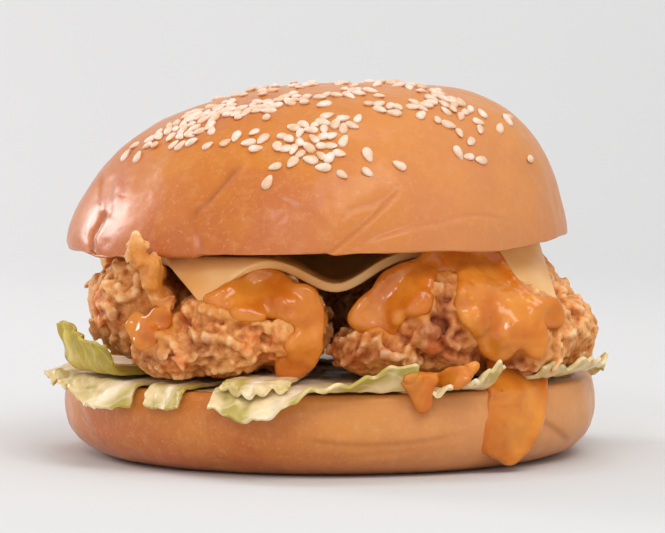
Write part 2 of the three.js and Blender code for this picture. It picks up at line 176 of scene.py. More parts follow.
def swell(piece, amount):
    """Moves every vertex along its normal by amount(point), in millimetres."""
    points = points_of(piece)
    height = np.array([amount(Vector(p)) for p in points])
    put_points(piece, points + normals_of(piece) * height[:, None])


def neighbour_mean(values, edges, count, rounds):
    """Averages each vertex's value with its neighbours', several times."""
    share = np.bincount(edges.ravel(), minlength=count)[:, None]
    for _ in range(rounds):
        total = np.zeros_like(values)
        np.add.at(total, edges[:, 0], values[edges[:, 1]])
        np.add.at(total, edges[:, 1], values[edges[:, 0]])
        values = (values + total / np.maximum(share, 1)) / 2
    return values


def store_relief(piece, rounds, full):
    """Writes the attribute relief: 0 in a crevice, 0.5 on the level and 1 on a crest."""
    mesh = piece.data
    edges = np.empty(len(mesh.edges) * 2, dtype=np.int64)
    mesh.edges.foreach_get("vertices", edges)
    points = points_of(piece)
    level = neighbour_mean(points, edges.reshape(-1, 2), len(points), rounds)
    height = np.einsum("ij,ij->i", points - level, normals_of(piece))
    store(piece, "relief", np.clip(0.5 + 0.5 * height / full, 0, 1))


def smooth_shade(piece):
    select_only(piece)
    bpy.ops.object.shade_smooth()


def finish_piece(piece, slot, materials, *nodes):
    for material in materials:
        piece.data.materials.append(material)
    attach(piece, "root")
    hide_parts(*nodes)


ABOVE, IN_FRONT = 120, -90  # from where rays are cast down and to the back, in millimetres


def tree_of(piece):
    return BVHTree.FromObject(piece, bpy.context.evaluated_depsgraph_get())


def random_from(seed):
    """The part's own random draws, so that its seeds lie at the same places here."""
    state = seed

    def draw():
        nonlocal state
        state = (1664525 * state + 1013904223) % 4294967296
        return state / 4294967296
    return draw


def wave(point, size):
    """Smooth noise from -1 to 1 with bumps of the given size in millimetres."""
    return noise.noise(Vector(point) / size)


def waves(point, heights_and_sizes):
    """Smooth relief from several sizes of bumps, in millimetres."""
    return sum(height * wave(point, size) for height, size in heights_and_sizes)


def bell(distance, spread):
    """A soft hill: 1 at no distance, and next to nothing beyond twice the spread."""
    return math.exp(-((distance / spread) ** 2))


def clamped(value):
    return max(0, min(1, value))


def eased(share):
    return share * share * (3 - 2 * share)


# Helpers for materials
SHARE, UNDER, OVER, MIXED = 0, 6, 7, 2  # the sockets of a Mix node that mixes colours


def colour(code):
    """An sRGB hex value as a linear colour."""
    parts = [int(code[i:i + 2], 16) / 255 for i in (1, 3, 5)]
    return [v / 12.92 if v <= 0.04045 else ((v + 0.055) / 1.055) ** 2.4 for v in parts] + [1]


def feed(material, node, inputs):
    """Sets a node's inputs, by name or number: each is a value or another node's output."""
    for key, value in inputs.items():
        if isinstance(value, bpy.types.NodeSocket):
            material.node_tree.links.new(value, node.inputs[key])
        else:
            node.inputs[key].default_value = value


def add_node(material, kind, output, inputs, **settings):
    """Adds a node with its settings and links, and returns one of its outputs."""
    node = material.node_tree.nodes.new("ShaderNode" + kind)
    for key, value in settings.items():
        setattr(node, key, value)
    feed(material, node, inputs)
    return node.outputs[output]


def new_material(name):
    """A material, its shader and its object coordinates, which are in metres."""
    material = bpy.data.materials.new(name)
    material.use_nodes = True
    place = add_node(material, "TexCoord", "Object", {})
    return material, material.node_tree.nodes["Principled BSDF"], place


def patches(material, place, size, start, full, low=0.0, high=1.0, detail=2.0, roughness=0.5, warp=0.0):
    """Soft patches of the given size in millimetres, which rise from low to high where the noise
    rises from start to full."""
    cloud = add_node(material, "TexNoise", "Fac", {
        "Vector": place, "Scale": 1 / (size * MM), "Detail": detail, "Roughness": roughness,
        "Distortion": warp})
    return add_node(material, "MapRange", "Result", {
        "Value": cloud, "From Min": start, "From Max": full, "To Min": low, "To Max": high})


def fine_relief(material, place, size, depth, detail=2.0, roughness=0.5, strength=1.0):
    """Bumps of the given size and depth in millimetres, as a normal."""
    bumps = add_node(material, "TexNoise", "Fac", {
        "Vector": place, "Scale": 1 / (size * MM), "Detail": detail, "Roughness": roughness})
    return add_node(material, "Bump", "Normal", {
        "Height": bumps, "Distance": depth * MM, "Strength": strength})


# Glazed brioche crust: egg-washed dough browned in the oven, with a soft gloss over fine
# pores. Darker and more orange on the crown and paler towards the rim. To the right the glaze
# coat thins and the colour is painted paler, a painted sheen, and the creases of the folds are
# painted darker, a painted shade.
def glazed_crust(name, low, high, crown, sides, pale):
    """Low and high are the heights in millimetres between which the sides turn into the crown."""
    material, shader, place = new_material(name)
    across = add_node(material, "SeparateXYZ", "X", {"Vector": place})
    height = across.node.outputs["Z"]
    rise = add_node(material, "MapRange", "Result", {
        "Value": height, "From Min": low * MM, "From Max": high * MM})
    mottle = patches(material, place, 16, 0.35, 0.65, -0.5, 0.5, 3, 0.55, 0.4)
    rise = add_node(material, "Math", "Value", {0: rise, 1: mottle}, operation="ADD", use_clamp=True)
    # Painted sheen: the crust is painted paler to the right.
    painted_sheen_right = add_node(material, "MapRange", "Result", {
        "Value": across, "From Min": -15 * MM, "From Max": 25 * MM, "To Max": 0.5})
    # Painted shade: the crust is painted darker along the creases of the folds.
    painted_crease_shade = add_node(material, "Attribute", "Fac", {}, attribute_name="painted_crease_shade")
    painted_shade_and_browning = add_node(material, "Math", "Value", {0: painted_crease_shade, 1: 0.7}, operation="MULTIPLY")
    base = colour(sides)
    for share, tone in [
        (rise, crown),
        (patches(material, place, 2.2, 0.5, 0.75, 0, 0.28, 3, 0.6), pale),
        (patches(material, place, 0.7, 0.58, 0.78, 0, 0.5, 2, 0.6), pale),
        (patches(material, place, 6.5, 0.52, 0.8, 0, 0.4, 4, 0.65, 1.2), "#b5632a"),
        # A painted sheen, paler to the right.
        (painted_sheen_right, pale),
        # Painted shade in the creases.
        (painted_shade_and_browning, "#94481f"),
    ]:
        base = add_node(material, "Mix", MIXED, {SHARE: share, UNDER: base, OVER: colour(tone)},
                        data_type="RGBA")
    glaze = add_node(material, "MapRange", "Result", {
        "Value": across, "From Min": -30 * MM, "From Max": 30 * MM, "To Min": 0.4, "To Max": 0.1})
    feed(material, shader, {
        "Base Color": base, "Roughness": patches(material, place, 5, 0.3, 0.7, 0.3, 0.46, 3),
        "IOR": 1.45, "Specular IOR Level": 0.2, "Coat Weight": glaze, "Coat Roughness": 0.22,
        "Coat IOR": 1.45, "Subsurface Weight": 0.05, "Subsurface Scale": 3 * MM,
        "Subsurface Radius": (1.0, 0.4, 0.15),
        "Normal": fine_relief(material, place, 1.6, 0.09, 4, 0.6, 0.8)})
    return material


# Bread crumb: the cut face of the bun, an open matte sponge of small air cells, whose insides
# are painted darker than their walls as painted shade in the pores
def bread_crumb():
    material, shader, place = new_material("bread_crumb")
    cells = add_node(material, "TexVoronoi", "Distance", {"Vector": place, "Scale": 1 / (1.6 * MM)})
    walls = add_node(material, "MapRange", "Result", {"Value": cells, "From Min": 0.1, "From Max": 0.6})
    # Painted shade: the pores are darker than the cell walls.
    base = add_node(material, "Mix", MIXED, {
        SHARE: walls, UNDER: colour("#cf9c63"), OVER: colour("#ecd0a0")}, data_type="RGBA")
    feed(material, shader, {
        "Base Color": base, "Roughness": 0.85, "Specular IOR Level": 0.2,
        "Normal": add_node(material, "Bump", "Normal", {"Height": walls, "Distance": 0.5 * MM})})
    return material


# Hulled sesame seed: smooth and slightly oily, toasted to cream
def sesame_seed():
    material, shader, place = new_material("sesame_seed")
    base = add_node(material, "Mix", MIXED, {
        SHARE: patches(material, place, 2.6, 0.35, 0.65), UNDER: colour("#e0b894"),
        OVER: colour("#f2dccb")}, data_type="RGBA")
    feed(material, shader, {
        "Base Color": base, "Roughness": 0.42, "IOR": 1.47, "Specular IOR Level": 0.45,
        "Subsurface Weight": 0.15, "Subsurface Scale": 1 * MM,
        "Normal": fine_relief(material, place, 0.5, 0.04)})
    return material


# Processed cheese: a soft slice, waxy and slightly translucent
def processed_cheese():
    material, shader, place = new_material("processed_cheese")
    base = add_node(material, "Mix", MIXED, {
        SHARE: patches(material, place, 14, 0.35, 0.65), UNDER: colour("#f0ae62"),
        OVER: colour("#f9ca8a")}, data_type="RGBA")
    feed(material, shader, {
        "Base Color": base, "Roughness": 0.38, "IOR": 1.45, "Subsurface Weight": 0.25,
        "Subsurface Scale": 3 * MM, "Subsurface Radius": (1.0, 0.6, 0.25),
        "Normal": fine_relief(material, place, 1.2, 0.05, 3)})
    return material


# Fried batter: floury dredge fried crisp, with oily patches. Its thin crests are painted pale
# gold, a painted light, and its hollows dark brown, a painted shade.
def fried_batter():
    material, shader, place = new_material("fried_batter")
    relief = add_node(material, "Attribute", "Fac", {}, attribute_name="relief")
    recess_shade_and_toast = add_node(material, "Attribute", "Fac", {}, attribute_name="recess_shade_and_toast")
    smear = add_node(material, "Attribute", "Fac", {}, attribute_name="smear")
    grit = patches(material, place, 0.9, 0.25, 0.75, -0.16, 0.16, 4, 0.65)
    level = add_node(material, "Math", "Value", {0: relief, 1: grit}, operation="ADD")
    # The relief picks the tone: painted shade in the crevices, painted light on the crests.
    tones = add_node(material, "ValToRGB", "Color", {"Fac": level})
    stops = tones.node.color_ramp.elements
    for stop, position, code in [(stops[0], 0.1, "#7d3a17"), (stops[1], 0.9, "#fbd6a8")]:
        stop.position = position
        stop.color = colour(code)
    for position, code in [(0.3, "#b86c30"), (0.47, "#db914b"), (0.66, "#f0b16c")]:
        stops.new(position).color = colour(code)
    oily = patches(material, place, 7, 0.5, 0.7, 0, 1, 3, 0.6, 0.5)
    base = tones
    # The darker spots are painted shade at the recesses and browner batter elsewhere.
    for share, tone, way in [
        (oily, "#eeb17e", "MULTIPLY"), (recess_shade_and_toast, "#a4582e", "MULTIPLY"), (smear, "#d98a38", "MIX"),
    ]:
        base = add_node(material, "Mix", MIXED, {SHARE: share, UNDER: base, OVER: colour(tone)},
                        data_type="RGBA", blend_type=way)
    wetness = add_node(material, "MapRange", "Result", {"Value": smear, "To Min": 0.55, "To Max": 0.25})
    feed(material, shader, {
        "Base Color": base, "Roughness": wetness, "IOR": 1.46, "Specular IOR Level": 0.45,
        "Subsurface Weight": 0.08, "Subsurface Scale": 2 * MM, "Subsurface Radius": (1.0, 0.5, 0.2),
        "Normal": fine_relief(material, place, 0.7, 0.32, 5, 0.7, 0.9)})
    return material


# Lettuce: a wet crisp leaf, light passes through it. Ribs are white, the blade green.
def lettuce_leaf(name, rib, blade, deep):
    material, shader, place = new_material(name)
    veins = add_node(material, "Attribute", "Fac", {}, attribute_name="vein")
    cloud = patches(material, place, 8, 0.44, 0.62, warp=0.6)
    base = colour(blade)
    for share, tone in [(cloud, deep), (veins, rib)]:
        base = add_node(material, "Mix", MIXED, {SHARE: share, UNDER: base, OVER: colour(tone)},
                        data_type="RGBA")
    feed(material, shader, {
        "Base Color": base, "Roughness": 0.36, "IOR": 1.4, "Subsurface Weight": 0.3,
        "Subsurface Scale": 2 * MM, "Subsurface Radius": (0.7, 1.0, 0.3),
        "Normal": fine_relief(material, place, 1.4, 0.15, 3)})
    return material


# Burger sauce: thick mayonnaise and chilli, wet and opaque with a sharp gloss
def thick_sauce():
    material, shader, place = new_material("thick_sauce")
    tone = patches(material, place, 8, 0.35, 0.68, 0, 1, 3, 0.55, 0.5)
    chilli = patches(material, place, 1.1, 0.76, 0.8, detail=1)
    base = colour("#c56817")
    for share, code in [(tone, "#dc8b2f"), (chilli, "#b2602a")]:
        base = add_node(material, "Mix", MIXED, {SHARE: share, UNDER: base, OVER: colour(code)},
                        data_type="RGBA")
    feed(material, shader, {
        "Base Color": base, "Roughness": 0.16, "IOR": 1.45, "Subsurface Weight": 0.15,
        "Subsurface Scale": 1.5 * MM, "Subsurface Radius": (1.0, 0.45, 0.1),
        "Normal": fine_relief(material, place, 2.8, 0.4, 1)})
    return material


TOP_CRUST = glazed_crust("glazed_brioche_crust_top", 42, 72, "#ca7823", "#bd6733", "#dc9a62")
BASE_CRUST = glazed_crust("glazed_brioche_crust_base", 2, 16, "#d08236", "#bd6730", "#dea26c")
CRUMB = bread_crumb()
SESAME = sesame_seed()
CHEESE_LOOK = processed_cheese()
BATTER = fried_batter()
PALE_LETTUCE = lettuce_leaf("iceberg_lettuce", "#f5e2c2", "#e6cd9a", "#b5a04e")
GREEN_LETTUCE = lettuce_leaf("green_lettuce", "#d8be62", "#b8a03e", "#96822f")
SAUCE = thick_sauce()


# Top bun
def cut_face(x):
    return TOP_BUN["rim"] + TOP_BUN["recess"] + TOP_BUN["tilt"] * x


def dome_outline(angle):
    """How far the rim reaches from the apex's axis at an angle."""
    offset = TOP_BUN["apex_x"] - TOP_BUN["middle"]
    c = offset * math.cos(angle)
    reach = math.sqrt(c * c - offset * offset + TOP_BUN["radius"] ** 2) - c
    return reach + DOME_WOBBLE["depth"] * math.sin(DOME_WOBBLE["turns"] * angle + DOME_WOBBLE["phase"])


def rim_height(angle):
    rise = sum(height * bell(angle - middle, spread) for middle, spread, height in RIM_RISES)
    x = TOP_BUN["apex_x"] + dome_outline(angle) * math.cos(angle)
    return TOP_BUN["rim"] + TOP_BUN["tilt"] * x + rise


def hollow_at(x, y):
    return sum(depth * bell(math.hypot(x - hx, y - hy), radius) for hx, hy, radius, depth in HOLLOWS)


def crown_power(angle):
    return DOME_CURVE["crown"] + DOME_CURVE["lean"] * math.cos(angle)


# Folds in the crust of the front, as seen from the front: points (x, z), then the height of the
# step, the side that stands up (1 on the left of the line's run), the groove and the spread
TOP_FOLDS = [
    ([(-16.5, 59.4), (-18.2, 57.7), (-19.9, 55.8), (-22.6, 52.6), (-25.1, 50.3), (-26.2, 48.4)],
     0.15, 1, 0.3, 2.5),
    ([(-26.4, 50.5), (-26.2, 48.3), (-25.1, 45.9), (-24.5, 42.3), (-24, 37)], 0.35, -1, 0.2, 3.2),
    ([(-6, 36.5), (-1.2, 41.8), (4.9, 46.9), (7.6, 49.2), (11.6, 53), (14, 55.5)], 0.55, -1, 0.2, 3.4),
    ([(5, 43.8), (9.3, 45.6), (15, 47.2), (21, 48.3), (26, 49.3), (32, 48.7), (38, 46.6)],
     0.55, -1, 0.15, 4.2),
    ([(-43.6, 49.6), (-44.5, 47.5), (-46.2, 44.5), (-46.2, 42.8), (-46.2, 39)], 0.8, 1, 0.9, 1.3),
    ([(-44.6, 57), (-44.9, 52), (-44.2, 47)], 0.16, -1, 0.14, 1.4),
    ([(-42.2, 56), (-42.6, 52), (-42.2, 48)], 0.14, 1, 0.1, 1.4),
    ([(2.5, 50), (4.9, 50.9), (8, 51.8), (12.5, 53.4)], 0.16, -1, 0.1, 1.6),
    ([(-12, 54), (-6, 51.5), (-1, 48.6), (1, 46)], 0.12, 1, 0.05, 3.5),
]
BASE_FOLDS = [
    ([(-50, 12), (-47, 8), (-45, 5.5), (-40, 2)], 0.25, 1, 0.15, 2.5),
    ([(-20, 6), (-8, 4.6), (6, 4.4), (20, 6)], 0.2, -1, 0.12, 2.0),
    ([(-8, 8.4), (4, 6.8), (16, 7), (26, 9)], 0.18, 1, 0.1, 2.0),
    ([(38, 11), (43, 8), (47, 4)], 0.3, 1, 0.2, 2.2),
]
# All folds: how far in front of the middle they reach their full depth, how quickly their ends
# fade, the softness of the step, the widths of the groove and of the painted shade along it, and
# how much more painted shade a deeper groove gets
FOLD = {"whole_at": 12, "ends": 4.5, "softness": 0.7, "groove": 0.65, "painted_crease_shade": 0.55, "darkness": 2.5}
# How far the meridians are drawn to the front, in radians, and the dome's share of the rings
CLOSER_BY = 0.6
DOME_SHARE = 0.72
# How sharply the rim turns in to the cut face, and how the rings are spread over that face
LIP_CURVE = {"turn": 4, "rings": 0.7}
# How far inside the rim the crumb of the cut faces starts
CRUMB_MARGIN = 4
# The relief of both crusts: heights and sizes of its waves, and the pits of the top
CRUST_WAVES = [(0.45, 15), (0.18, 6), (0.05, 2.2)]
CRUST_PITS = {"depth": 0.2, "size": 1.9, "level": 0.4, "shift": (40, 0, 0)}
BASE_WAVES = [(0.35, 13), (0.16, 5), (0.05, 2)]


def rounded(line, steps=6):
    """Points on a smooth curve through the given ones."""
    ends = [line[0]] + list(line) + [line[-1]]
    curve = []
    for p0, p1, p2, p3 in zip(ends, ends[1:], ends[2:], ends[3:]):
        a, b, c, d = (np.array(p, dtype=float) for p in (p0, p1, p2, p3))
        for t in np.linspace(0, 1, steps, endpoint=False):
            curve.append(0.5 * (2 * b + (c - a) * t + (2 * a - 5 * b + 4 * c - d) * t ** 2
                                + (3 * b - a - 3 * c + d) * t ** 3))
    return curve + [np.array(line[-1], dtype=float)]


def measured_from(line, x, z):
    """Each point's distance from a line, the side it lies on and its share of the line's run."""
    curve = rounded(line)
    reach = np.full(len(x), np.inf)
    side = np.ones(len(x))
    run = np.zeros(len(x))
    for index, (a, b) in enumerate(zip(curve, curve[1:])):
        dx, dz = b - a
        t = np.clip(((x - a[0]) * dx + (z - a[1]) * dz) / (dx * dx + dz * dz), 0, 1)
        ox, oz = x - a[0] - t * dx, z - a[1] - t * dz
        far = np.hypot(ox, oz)
        nearer = far < reach
        reach[nearer] = far[nearer]
        side[nearer] = np.sign(dx * oz - dz * ox)[nearer]
        run[nearer] = ((index + t) / (len(curve) - 1))[nearer]
    return reach, side, run


def inside(x, z, outline):
    """Which points lie inside a closed outline."""
    crossings = np.zeros(len(x), dtype=bool)
    for (ax, az), (bx, bz) in zip(outline, outline[1:]):
        spans = (az > z) != (bz > z)
        crossings ^= spans & (x < ax + (z - az) / (bz - az or 1) * (bx - ax))
    return crossings


def fold_relief(points, folds):
    """Height of the folds at each point of the front, and how much painted shade it gets in a groove, 0 to
    1.
    """
    x, y, z = points.T
    height = np.zeros(len(points))
    painted_crease_shade = np.zeros(len(points))
    for line, step, raised, groove, spread in folds:
        reach, side, run = measured_from(line, x, z)
        ends = np.clip(np.minimum(run, 1 - run) * FOLD["ends"], 0, 1)
        fade = np.clip(-y / FOLD["whole_at"], 0, 1) * eased(ends)
        height += fade * step * np.tanh(reach * side * raised / FOLD["softness"]) * np.exp(-reach / spread)
        height -= fade * groove * np.exp(-((reach / FOLD["groove"]) ** 2))
        # Painted shade along the groove, more of it for a deeper groove.
        groove_shade = fade * min(1, FOLD["darkness"] * groove)
        painted_crease_shade = np.maximum(painted_crease_shade, groove_shade * np.exp(-((reach / FOLD["painted_crease_shade"]) ** 2)))
    return height, painted_crease_shade


def closer_in_front(angle):
    """Spaces the mesh's meridians more closely on the side with the folds."""
    return angle - CLOSER_BY * math.cos(angle)


def crust_relief(p):
    pits = max(0, wave(p + Vector(CRUST_PITS["shift"]), CRUST_PITS["size"]) - CRUST_PITS["level"])
    return waves(p, CRUST_WAVES) - CRUST_PITS["depth"] * pits


def top_bun():
    bpy.ops.mesh.primitive_uv_sphere_add(segments=420, ring_count=230, radius=MM)
    bun = settle(bpy.context.object, "bun_top_crust")
    under_share = 1 - DOME_SHARE

    def place(x, y, z):
        angle = closer_in_front(math.atan2(y, x)) % (2 * math.pi)
        height = 1 - math.acos(max(-1, min(1, z))) / math.pi
        outline = dome_outline(angle)
        if height > under_share:
            a = (height - under_share) / DOME_SHARE * math.pi / 2
            share = math.cos(a) ** (2 / crown_power(angle))
            rim = rim_height(angle)
            px = TOP_BUN["apex_x"] + outline * share * math.cos(angle)
            py = outline * share * math.sin(angle)
            rise = math.sin(a) ** (2 / DOME_CURVE["side"])
            return px, py, rim + (TOP_BUN["apex"] - rim) * rise - hollow_at(px, py) * share
        inward = height / under_share
        lip = TOP_BUN["lip"] * (1 - inward ** LIP_CURVE["turn"])
        r = (outline - lip) * inward ** LIP_CURVE["rings"]
        px, py = TOP_BUN["apex_x"] + r * math.cos(angle), r * math.sin(angle)
        return px, py, cut_face(px)

    shape(bun, place)
    modify(bun, "SMOOTH", factor=0.5, iterations=6)
    points = points_of(bun)
    height, painted_crease_shade = fold_relief(points, TOP_FOLDS)
    height += np.array([crust_relief(Vector(p)) for p in points])
    put_points(bun, points + normals_of(bun) * height[:, None])
    store(bun, "painted_crease_shade", painted_crease_shade)
    smooth_shade(bun)
    finish_piece(bun, "bun_crust", [TOP_CRUST, CRUMB], "bun_top")
    for face in bun.data.polygons:
        within = math.hypot(face.center.x, face.center.y) < (TOP_BUN["radius"] - CRUMB_MARGIN) * MM
        face.material_index = 1 if face.normal.z < -0.6 and within else 0
    return bun


# Sesame seeds: those that lie apart, then clusters with their middle, spread and count, as on
# the part, then the clusters of the seeds that only this scene has
SINGLE_SEEDS = [
    (-28.7, -28.3), (-26.5, -29.6), (-23.3, -33.5), (-12.7, -37.2), (-14, -38.9), (-12.1, -30.7),
    (-11.7, -45), (2.3, -44.8), (-0.5, -33.8), (19.4, -23.7), (20.6, -29.2), (22.7, -29), (24.8, -29),
    (27, -28.7), (24.5, -33.1), (26.5, -32), (28.9, -30.3), (33, -18.8), (38.9, -17.5), (7.2, -41.6),
    (7.1, -43.8), (13.1, -41.3),
]
SEED_CLUSTERS = [
    (-38.9, -13.6, 1.2, 1.6, 2), (-34.5, -18.2, 1.2, 1.4, 3), (-32.2, -17.2, 1, 1.9, 2),
    (-27.9, -19.8, 1.9, 4.6, 8), (-23.5, -27.7, 1.3, 1.6, 4), (-19.5, -33.5, 0.9, 1, 2),
    (-15.2, -36.2, 0.9, 1, 2), (-22.4, -18.9, 1.8, 2.9, 5), (-17.4, -25.2, 1.5, 2, 4),
    (-12.7, -24.9, 1.8, 2.3, 5), (-7.5, -23.7, 2.1, 2.2, 5), (-2.1, -27, 1.5, 2, 3),
    (-3.7, -40, 3.9, 2.5, 18), (3.9, -35, 1.2, 1.3, 3), (3.9, -23.9, 1.5, 2.6, 3),
    (9.1, -22.3, 1.1, 1.9, 2), (10.4, -29.7, 2.1, 1.1, 4), (16.4, -27.5, 1.3, 1.6, 4),
    (24.3, -20.6, 2.5, 2.5, 9), (35, -11.4, 1, 2, 2), (19.5, -14, 6, 3.5, 3), (0, -10, 14, 5, 3),
    (-2, 14, 20, 12, 6), (-20, 24, 8, 7, 3), (20, 25, 9, 7, 3),
]
MORE_SEEDS = [
    (-27.9, -19.8, 1.8, 4.6, 14), (-34.5, -17, 2.4, 1.5, 3), (-22.4, -18.9, 2, 3, 8),
    (-17.4, -25.2, 1.5, 2, 5), (-12.7, -24.9, 2, 2.4, 6), (-7.5, -23.7, 2, 2.2, 5),
    (-3.7, -40, 3.7, 2.4, 28), (3.9, -24, 1.5, 2.6, 3), (24.3, -20.6, 2.6, 2.6, 10),
    (16.4, -27.5, 1, 1.4, 3), (10.4, -29.7, 2, 1, 3), (0, -10, 16, 6, 14), (19.5, -14, 6, 3, 6),
    (-2, 14, 20, 12, 36), (-22, 24, 9, 8, 14), (20, 26, 10, 8, 16), (0, 36, 14, 5, 8),
]
# How the seeds fall: the first draw, the tries for each one, the spread of a cluster, and how much
# closer the added ones may lie. Then their middle size and how far it varies, their lean in radians,
# the share of their height above the crust and how far they taper
SEED_FALL = {"first": 20260, "tries": 25, "spread": 1.4, "closeness": 0.8}
SEED_LIE = {"size": 0.94, "varies": 0.12, "lean": 0.18, "raised": 0.22, "taper": 0.3}


def seed_places():
    draw = random_from(SEED_FALL["first"])

    def strayed(middle, spread):
        return middle + spread * (draw() + draw() + draw() - 1.5) * SEED_FALL["spread"]

    places = [(x, y, 2 * math.pi * draw()) for x, y in SINGLE_SEEDS]
    close = SEED_FALL["closeness"] * SEED["spacing"]
    for spacing, clusters in ((SEED["spacing"], SEED_CLUSTERS), (close, MORE_SEEDS)):
        for cx, cy, sx, sy, count in clusters:
            for _ in range(count):
                for _ in range(SEED_FALL["tries"]):
                    x = strayed(cx, sx)
                    y = strayed(cy, sy)
                    turn = 2 * math.pi * draw()
                    if all(math.hypot(px - x, py - y) > spacing for px, py, _ in places):
                        places.append((x, y, turn))
                        break
    return places


def sesame_seeds(bun):
    bpy.ops.mesh.primitive_uv_sphere_add(segments=10, ring_count=7, radius=MM)
    seed = settle(bpy.context.object, "seed")

    def drop(x, y, z):
        taper = 1 - SEED_LIE["taper"] * z
        return z * SEED["length"] / 2, y * taper * SEED["width"] / 2, -x * taper * SEED["height"] / 2

    shape(seed, drop)
    tree = tree_of(bun)
    matrices = []
    for index, (x, y, turn) in enumerate(seed_places()):
        hit, normal, _, _ = tree.ray_cast(Vector((x, y, ABOVE)) * MM, Vector((0, 0, -1)))
        if hit is None:
            continue
        size = SEED_LIE["size"] + SEED_LIE["varies"] * math.sin(index * 2.4)
        lean = Quaternion((0, 1, 0), SEED_LIE["lean"] * math.sin(index * 5.1))
        turned = Vector((0, 0, 1)).rotation_difference(normal) @ Quaternion((0, 0, 1), turn) @ lean
        foot = hit + normal * (SEED_LIE["raised"] * SEED["height"] * MM)
        matrices.append(Matrix.Translation(foot) @ turned.to_matrix().to_4x4() @ Matrix.Scale(size, 4))
    seeds = copies_of(seed, matrices)
    settle(seeds, "sesame_seeds")
    smooth_shade(seeds)
    finish_piece(seeds, "sesame", [SESAME], "bun_top")


# Bottom bun: the share of the run from the middle of the base to the middle of the top at which
# the flat base, the lower side, the upper side and the round rim end
RUN = {"base": 0.2, "waist": 0.5, "side": 0.62, "rim": 0.68}


def bun_profile(t):
    """Radius and height along the side, from the middle of the base to the middle of the top."""
    radius, flat, waist, rim = (BOTTOM_BUN[key] for key in ("radius", "flat", "waist", "rim_radius"))
    cut, slant, power = BOTTOM_BUN["cut"], BOTTOM_BUN["slant"], BOTTOM_BUN["edge_power"]
    if t < RUN["base"]:
        return flat * t / RUN["base"], 0
    if t < RUN["waist"]:
        a = (t - RUN["base"]) / (RUN["waist"] - RUN["base"]) * math.pi / 2
        side = math.sin(a) ** (2 / power)
        return flat + (radius - flat) * side, waist * (1 - math.cos(a) ** (2 / power))
    if t < RUN["side"]:
        up = (t - RUN["waist"]) / (RUN["side"] - RUN["waist"])
        return radius - slant * up * up, waist + (cut - rim - waist) * up
    if t < RUN["rim"]:
        a = (t - RUN["side"]) / (RUN["rim"] - RUN["side"]) * math.pi / 2
        return radius - slant - rim + rim * math.cos(a), cut - rim + rim * math.sin(a)
    return (radius - slant - rim) * (1 - t) / (1 - RUN["rim"]), cut


def base_relief(p):
    """The side's relief, which leaves the flat base and the cut face level."""
    if p.z < 0.05 or p.z > BOTTOM_BUN["cut"] - 0.4:
        return 0
    return waves(p, BASE_WAVES) * min(1, p.z / 2)


def bottom_bun():
    bpy.ops.mesh.primitive_uv_sphere_add(segments=300, ring_count=130, radius=MM)
    bun = settle(bpy.context.object, "bun_bottom_crust")

    def place(x, y, z):
        angle = closer_in_front(math.atan2(y, x))
        r, height = bun_profile(1 - math.acos(max(-1, min(1, z))) / math.pi)
        outward = clamped((r - BOTTOM_BUN["flat"]) / (BOTTOM_BUN["radius"] - BOTTOM_BUN["flat"]))
        round_about = Vector((math.cos(angle), math.sin(angle), 0)) * BASE_UNEVENNESS["bumps"]
        r *= 1 + BASE_UNEVENNESS["share"] * outward * noise.noise(round_about)
        return r * math.cos(angle), r * math.sin(angle), height

    shape(bun, place)
    points = points_of(bun)
    height, painted_crease_shade = fold_relief(points, BASE_FOLDS)
    height *= np.clip(points[:, 2] / 2, 0, 1)
    height += np.array([base_relief(Vector(p)) for p in points])
    put_points(bun, points + normals_of(bun) * height[:, None])
    store(bun, "painted_crease_shade", painted_crease_shade)
    smooth_shade(bun)
    finish_piece(bun, "bun_crust", [BASE_CRUST, CRUMB], "bun_bottom")
    for face in bun.data.polygons:
        on_top = face.normal.z > 0.8 and face.center.z > (BOTTOM_BUN["cut"] - 0.6) * MM
        within = math.hypot(face.center.x, face.center.y) < (BOTTOM_BUN["radius"] - CRUMB_MARGIN) * MM
        face.material_index = 1 if on_top and within else 0
    return bun


# Cheese slice, draped as the solid is
def cheese_slice():
    bpy.ops.mesh.primitive_grid_add(x_subdivisions=90, y_subdivisions=90, size=2 * MM)
    cheese = settle(bpy.context.object, "cheese_slice")
    half = CHEESE["side"] / 2
    c, s = math.cos(CHEESE["turn"]), math.sin(CHEESE["turn"])
    fold_x, fold_y = CHEESE_FOLD["middle"]

    def place(u, v, _):
        p, q = u * half, v * half
        x = CHEESE["middle"][0] + p * c - q * s
        y = CHEESE["middle"][1] + p * s + q * c
        r = math.hypot(x - fold_x, y - fold_y)
        turned = math.atan2(y - fold_y, x - fold_x) - CHEESE_SLUMP["toward"]
        slump = max(0, math.cos(turned)) ** CHEESE_SLUMP["narrowness"]
        start = CHEESE_FOLD["start"] - CHEESE_SLUMP["start"] * slump
        steepest = CHEESE_FOLD["steepest"] - CHEESE_SLUMP["steepest"] * slump
        over, bend = max(0, r - start), CHEESE_FOLD["bend"]
        angle = min(steepest, over / bend)
        straight = max(0, over - steepest * bend)
        out = bend * math.sin(angle) + straight * math.cos(steepest)
        down = bend * (1 - math.cos(angle)) + straight * math.sin(steepest)
        scale = (start + out) / r if over > 0 else 1
        front = eased(clamped((CHEESE_SAG["starts_at_y"] - y) / CHEESE_SAG["full_after"]))
        sag = CHEESE_SAG["depth"] * front * bell(x - CHEESE_SAG["x"], CHEESE_SAG["width"])
        px = fold_x + (x - fold_x) * scale
        pz = cut_face(px) - GAP - CHEESE["slack"] / 2 - CHEESE["thickness"] / 2 - down - sag
        return px, fold_y + (y - fold_y) * scale, pz + waves((x, y, 3), CHEESE_WAVES)

    shape(cheese, place)
    modify(cheese, "SOLIDIFY", thickness=(CHEESE["thickness"] - CHEESE["slack"]) * MM, offset=0)
    modify(cheese, "BEVEL", width=0.35 * MM, segments=3, limit_method="ANGLE", angle_limit=math.radians(50))
    smooth_shade(cheese)
    finish_piece(cheese, "cheese", [CHEESE_LOOK], "cheese")
    return cheese


